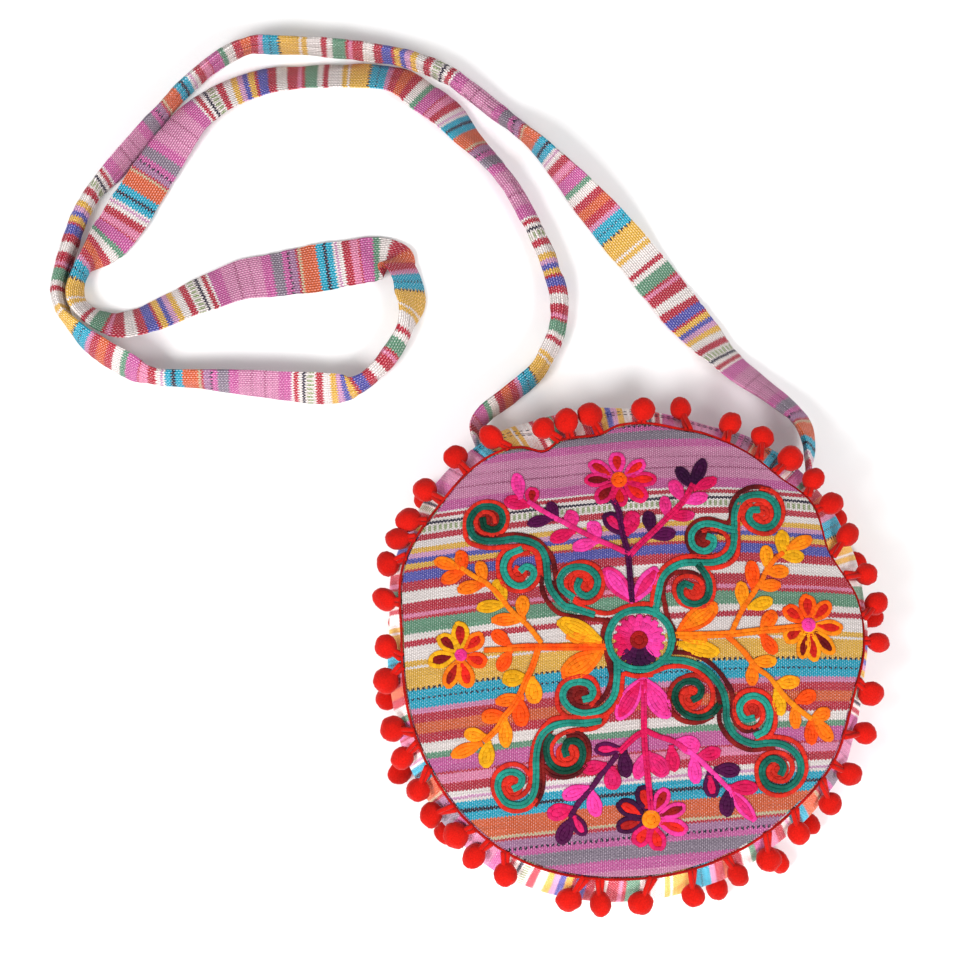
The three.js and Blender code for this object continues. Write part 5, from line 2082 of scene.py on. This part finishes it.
class BAG_OT_trims(bpy.types.Operator):
    """Make the twisted red braids in both seams with their hanging pompoms"""

    bl_idname = "bag.make_trims"
    bl_label = "Make Trims"

    def execute(self, context):
        wool = yarn_material(
            "trim_wool",
            "wool",
            "wool_shade",
            roughness=WOOL_ROUGHNESS,
            sheen=WOOL_SHEEN,
            fibre_scale=WOOL_FIBRE_SCALE,
            bump_strength=WOOL_BUMP,
        )
        ball = pompom_shape()
        strand = stitch_shape("braid_strand", GRAIN_ROWS, ROPE_SECTION, skew=1.0)
        braid_size = 2 * size("braid_radius")
        strand_size = (BRAID_STRAND, 1.0, braid_size / 2)
        # Each trim's node, pompoms, seam, height and seed
        trims = [
            ("front_trim", front_pompoms(), FRONT, size("seam_height"), FRONT_TRIM_SEED),
            ("back_trim", back_pompoms(), BACK, BACK_BRAID_HEIGHT, BACK_TRIM_SEED),
        ]
        for node, pompoms, seam, height, seed in trims:
            balls = pompom_mesh(node + "_points", pompoms, ball, seed, wool)
            paths = [(braid_ring(seam, height), braid_size, True)]
            braid = stitched_piece(node + "_braid", paths, strand, BRAID_SPACING, strand_size, seed, wool)
            trim = join_meshes(node + "_wool", [balls, braid, stem_mesh(pompoms)])
            trim.data.materials.clear()
            trim.data.materials.append(wool)
            finish_piece(trim, "trim_wool", node)
        bpy.data.objects.remove(ball)
        bpy.data.objects.remove(strand)
        return {"FINISHED"}


# Embroidery


SIGHT_STEPS = 4


def chart_point(column, row):
    """Where a point of the chart lies on the front panel, dropped along the line of sight."""
    tilt = math.radians(CAMERA_TILT)
    focal = CAMERA_LENS / CAMERA_SENSOR * CHART_SIDE
    right = Vector((1, 0, 0))
    up = Vector((0, math.cos(tilt), math.sin(tilt)))
    forward = Vector((0, math.sin(tilt), -math.cos(tilt)))
    sight = forward + right * ((column - CHART_SIDE / 2) / focal) + up * ((CHART_SIDE / 2 - row) / focal)
    eye = Vector(CAMERA_PLACE)
    height = size("seam_height")
    for _ in range(SIGHT_STEPS):
        place = eye + sight * ((height - eye.z) / sight.z)
        height = panel_height(place.x, place.y)
    return place.x, place.y


# How far each kind of stitching is raised, so that one lies over another
STITCH_SINK = 0.12
STEM_LIFT = 0.3
RED_LIFT = 0.1
TEAL_LIFT = 0.4
FILL_LIFT = -0.3
DISC_LIFT = 0.5

# Red scrolls darker than this dye lie under the lighter ones
DARK_DYE = 0.6
MIDDLE_DYE = 0.8
SCROLL_STEPS = 8


def on_panel(line, dyes, lift):
    """Stations of a path on the front panel from flat places and dyes."""
    stations = []
    for (x, y), dye in zip(line, dyes):
        normal = panel_normal(x, y)
        stations.append((Vector((x, y, panel_height(x, y))) + normal * (lift - STITCH_SINK), normal, dye))
    return stations


def side_rows(line, width):
    """Parallel rows that fill a flat band of the given width, and the width of one row."""
    rows = max(1, round(width / ROW_WIDTH))
    row_width = width / rows
    offset_rows = []
    for row in range(rows):
        offset = (row - (rows - 1) / 2) * row_width
        moved = []
        for index, (x, y) in enumerate(line):
            before = line[max(index - 1, 0)]
            after = line[min(index + 1, len(line) - 1)]
            run = Vector((after[0] - before[0], after[1] - before[1])).normalized()
            moved.append((x - run.y * offset, y + run.x * offset))
        offset_rows.append(moved)
    return offset_rows, row_width


LEAF_STEPS = 14
LEAF_LEAN = 1.3
LEAF_FULLNESS = 0.62


def leaf_loops(base, tip, width):
    """Closed rows of stitches that fill a leaf from its edge to its middle, and the width of one row."""
    base, tip = Vector(base), Vector(tip)
    axis = tip - base
    length = axis.length
    axis.normalize()
    sideways = Vector((-axis.y, axis.x))
    rows = max(1, round(width / 2 / ROW_WIDTH))
    row_width = width / 2 / rows
    loops = []
    for row in range(rows):
        inset = row_width * (row + 0.5)
        if length - 2 * inset < row_width:
            break
        upper, lower = [], []
        for step in range(LEAF_STEPS + 1):
            along = inset + (length - 2 * inset) * step / LEAF_STEPS
            swell = width / 2 * math.sin(math.pi * (along / length) ** LEAF_LEAN) ** LEAF_FULLNESS
            half = max(swell - inset, 0.0)
            middle = base + axis * along
            upper.append(tuple(middle + sideways * half))
            lower.append(tuple(middle - sideways * half))
        loops.append(upper + list(reversed(lower[1:-1])))
    return loops, row_width


FEWEST_DISC_STEPS = 10
DISC_STEPS_PER_REACH = 8


def disc_loops(middle, radius):
    """Rings of stitches that fill a round flower middle, and the width of one ring."""
    rows = max(1, round(radius / ROW_WIDTH))
    row_width = radius / rows
    loops = []
    for row in range(rows):
        reach = row_width * (row + 0.5)
        count = max(FEWEST_DISC_STEPS, round(reach * DISC_STEPS_PER_REACH))
        ring = []
        for step in range(count):
            turn = 2 * math.pi * step / count
            ring.append((middle[0] + math.cos(turn) * reach, middle[1] + math.sin(turn) * reach))
        loops.append(ring)
    return loops, row_width


class Needle:
    """Collects the embroidery's paths by thread."""

    def __init__(self):
        self.paths = {thread: [] for thread in THREADS}

    def sew(self, thread, dye, line, row_width, lift):
        self.paths[thread].append((on_panel(line, [dye] * len(line), lift), row_width * ROW_OVERLAP, True))

    def scroll(self, thread, start_dye, end_dye, width, chart_points):
        places = [chart_point(*point) for point in chart_points]
        line = smooth_line(places, SCROLL_STEPS)
        last = len(line) - 1
        dyes = [start_dye + (end_dye - start_dye) * index / last for index in range(last + 1)]
        lift = {"teal": TEAL_LIFT, "red": RED_LIFT}.get(thread, STEM_LIFT)
        if thread == "red" and start_dye > DARK_DYE:
            lift = 0.0
        rows, row_width = side_rows(line, width * CHART_UNIT)
        for row in rows:
            self.paths[thread].append((on_panel(row, dyes, lift), row_width * ROW_OVERLAP, False))

    def leaf(self, thread, dye, base, tip, width, inner_thread="", inner_dye=0.0):
        loops, row_width = leaf_loops(chart_point(*base), chart_point(*tip), width * CHART_UNIT)
        for index, line in enumerate(loops):
            if index > 0 and inner_thread:
                self.sew(inner_thread, inner_dye, line, row_width, 0.0)
            else:
                self.sew(thread, dye, line, row_width, 0.0)

    def disc(self, thread, dye, middle, radius, lift):
        loops, row_width = disc_loops(chart_point(*middle), radius * CHART_UNIT)
        for line in loops:
            self.sew(thread, dye, line, row_width, lift)


def towards(start, end, reach):
    """A chart point at a distance from a start towards an end."""
    share = reach / math.dist(start, end)
    return start[0] + (end[0] - start[0]) * share, start[1] + (end[1] - start[1]) * share


class BAG_OT_embroidery(bpy.types.Operator):
    """Sew the chain stitch embroidery onto the front panel, one piece for each thread"""

    bl_idname = "bag.make_embroidery"
    bl_label = "Make Embroidery"

    def execute(self, context):
        needle = Needle()
        for scroll in SCROLLS:
            needle.scroll(*scroll)
        for leaf in LEAVES:
            needle.leaf(*leaf)
        for middle, radius, thread, dye, petals in FLOWERS:
            for tip, width, petal_thread, petal_dye, inner_dye in petals:
                base = towards(middle, tip, radius * PETAL_START)
                needle.leaf(petal_thread, petal_dye, base, tip, width, "poppy", inner_dye)
            needle.disc(thread, dye, middle, radius, DISC_LIFT)
        for fan, thread in ((PINK_FAN, "pink"), (PURPLE_FAN, "purple")):
            for angle, dye in fan:
                turn = math.radians(angle)
                tip = (
                    MIDDLE_FLOWER[0] + math.cos(turn) * PETAL_REACH,
                    MIDDLE_FLOWER[1] - math.sin(turn) * PETAL_REACH,
                )
                base = towards(MIDDLE_FLOWER, tip, MIDDLE_RADIUS * PETAL_START)
                needle.leaf(thread, dye, base, tip, PETAL_WIDTH)
        needle.disc("poppy", MIDDLE_DYE, MIDDLE_FLOWER, MIDDLE_RADIUS, DISC_LIFT)
        for middle, radius, dye in SPIRAL_FILLS:
            needle.disc("red", dye, middle, radius, FILL_LIFT)
        shape = stitch_shape("chain_stitch", CHAIN_ROWS, CHAIN_SECTION)
        stitch_size = (size("stitch_length"), 1.0, size("stitch_height"))
        spacing = size("stitch_spacing")
        for seed, (thread, (light, dark)) in enumerate(THREADS.items()):
            name = "embroidery_" + thread
            material = yarn_material(name, light, dark)
            mesh = stitched_piece(name, needle.paths[thread], shape, spacing, stitch_size, seed, material)
            finish_piece(new_object(name, mesh), "trim_wool")
        bpy.data.objects.remove(shape)
        return {"FINISHED"}


# Stage


FLOOR_HALF = 3.0
FLOOR_DROP = 0.0002
FLOOR_GLOW = 0.02
PAPER_GRAIN_SCALE = 3.0
PAPER_GRAIN_DETAIL = 2.0
PAPER_DIM = 0.985
PAPER_ROUGHNESS = 0.9
PAPER_SPECULAR = 0.1
WORLD_LIGHT = 0.52

# Soft lights: name, place and power
SOFTBOXES = [("left_softbox", (-0.8, -0.6, 1.15), 18.5), ("right_softbox", (0.75, -0.7, 1.15), 13.5)]
SOFTBOX_AIM = (0, 0.05, 0)
SOFTBOX_WIDTH = 0.5


def softbox(name, place, power):
    """A soft square light aimed at the bag."""
    lamp = bpy.data.lights.new(name, "AREA")
    lamp.energy = power
    lamp.size = SOFTBOX_WIDTH
    made = bpy.data.objects.new(name, lamp)
    made.location = place
    made.rotation_euler = (Vector(SOFTBOX_AIM) - Vector(place)).to_track_quat("-Z", "Y").to_euler()
    bpy.context.scene.collection.objects.link(made)


class BAG_OT_stage(bpy.types.Operator):
    """Set up the white floor, the soft lights and the camera above the bag"""

    bl_idname = "bag.make_stage"
    bl_label = "Make Stage"

    def execute(self, context):
        scene = context.scene
        camera = bpy.data.cameras.new("camera")
        camera.lens = CAMERA_LENS
        camera.sensor_width = CAMERA_SENSOR
        eye = bpy.data.objects.new("camera", camera)
        eye.location = Vector(CAMERA_PLACE) * MM
        eye.rotation_euler = (math.radians(CAMERA_TILT), 0, 0)
        scene.collection.objects.link(eye)
        scene.camera = eye

        mesh = bpy.data.meshes.new("floor")
        corners = [(-1, -1), (1, -1), (1, 1), (-1, 1)]
        points = [(x * FLOOR_HALF, y * FLOOR_HALF, -FLOOR_DROP) for x, y in corners]
        mesh.from_pydata(points, [], [(0, 1, 2, 3)])
        floor = new_object("floor", mesh)
        paper, pen, shader = new_material("white_paper")
        place = pen.node("ShaderNodeTexCoord").outputs["Object"]
        grain = pen.noise(place, PAPER_GRAIN_SCALE, PAPER_GRAIN_DETAIL)
        pale = colour("floor")
        dim = tuple(channel * PAPER_DIM for channel in pale[:3]) + (1.0,)
        pen.feed(shader.inputs["Base Color"], pen.mix(grain, pale, dim))
        shader.inputs["Roughness"].default_value = PAPER_ROUGHNESS
        shader.inputs["Specular IOR Level"].default_value = PAPER_SPECULAR
        shader.inputs["Emission Color"].default_value = pale
        shader.inputs["Emission Strength"].default_value = FLOOR_GLOW
        mesh.materials.append(paper)

        world = bpy.data.worlds.new("studio")
        world.use_nodes = True
        world.node_tree.nodes["Background"].inputs["Color"].default_value = (1, 1, 1, 1)
        world.node_tree.nodes["Background"].inputs["Strength"].default_value = WORLD_LIGHT
        scene.world = world
        for light in SOFTBOXES:
            softbox(*light)
        scene.view_settings.view_transform = "Standard"
        return {"FINISHED"}


class BAG_PT_panel(bpy.types.Panel):
    """Lists the bag's pieces, sizes and colours in the sidebar"""

    bl_idname = "BAG_PT_panel"
    bl_label = "Shoulder Bag"
    bl_space_type = "VIEW_3D"
    bl_region_type = "UI"
    bl_category = "Shoulder Bag"

    def draw(self, context):
        layout = self.layout
        for operator in OPERATORS:
            layout.operator(operator.bl_idname)
        for settings in (context.scene.bag_sizes, context.scene.bag_colours):
            box = layout.box()
            for name in settings.__annotations__:
                box.prop(settings, name)


OPERATORS = [BAG_OT_stage, BAG_OT_strap, BAG_OT_panels, BAG_OT_sides, BAG_OT_trims, BAG_OT_embroidery]
CLASSES = [BagSizes, BagColours, *OPERATORS, BAG_PT_panel]


def register():
    for one in CLASSES:
        bpy.utils.register_class(one)
    bpy.types.Scene.bag_sizes = PointerProperty(type=BagSizes)
    bpy.types.Scene.bag_colours = PointerProperty(type=BagColours)


def unregister():
    del bpy.types.Scene.bag_colours
    del bpy.types.Scene.bag_sizes
    for one in reversed(CLASSES):
        bpy.utils.unregister_class(one)


def main():
    register()
    bpy.ops.bag.make_stage()
    bpy.ops.bag.make_strap()
    bpy.ops.bag.make_panels()
    bpy.ops.bag.make_sides()
    bpy.ops.bag.make_trims()
    bpy.ops.bag.make_embroidery()


if __name__ == "__main__":
    main()
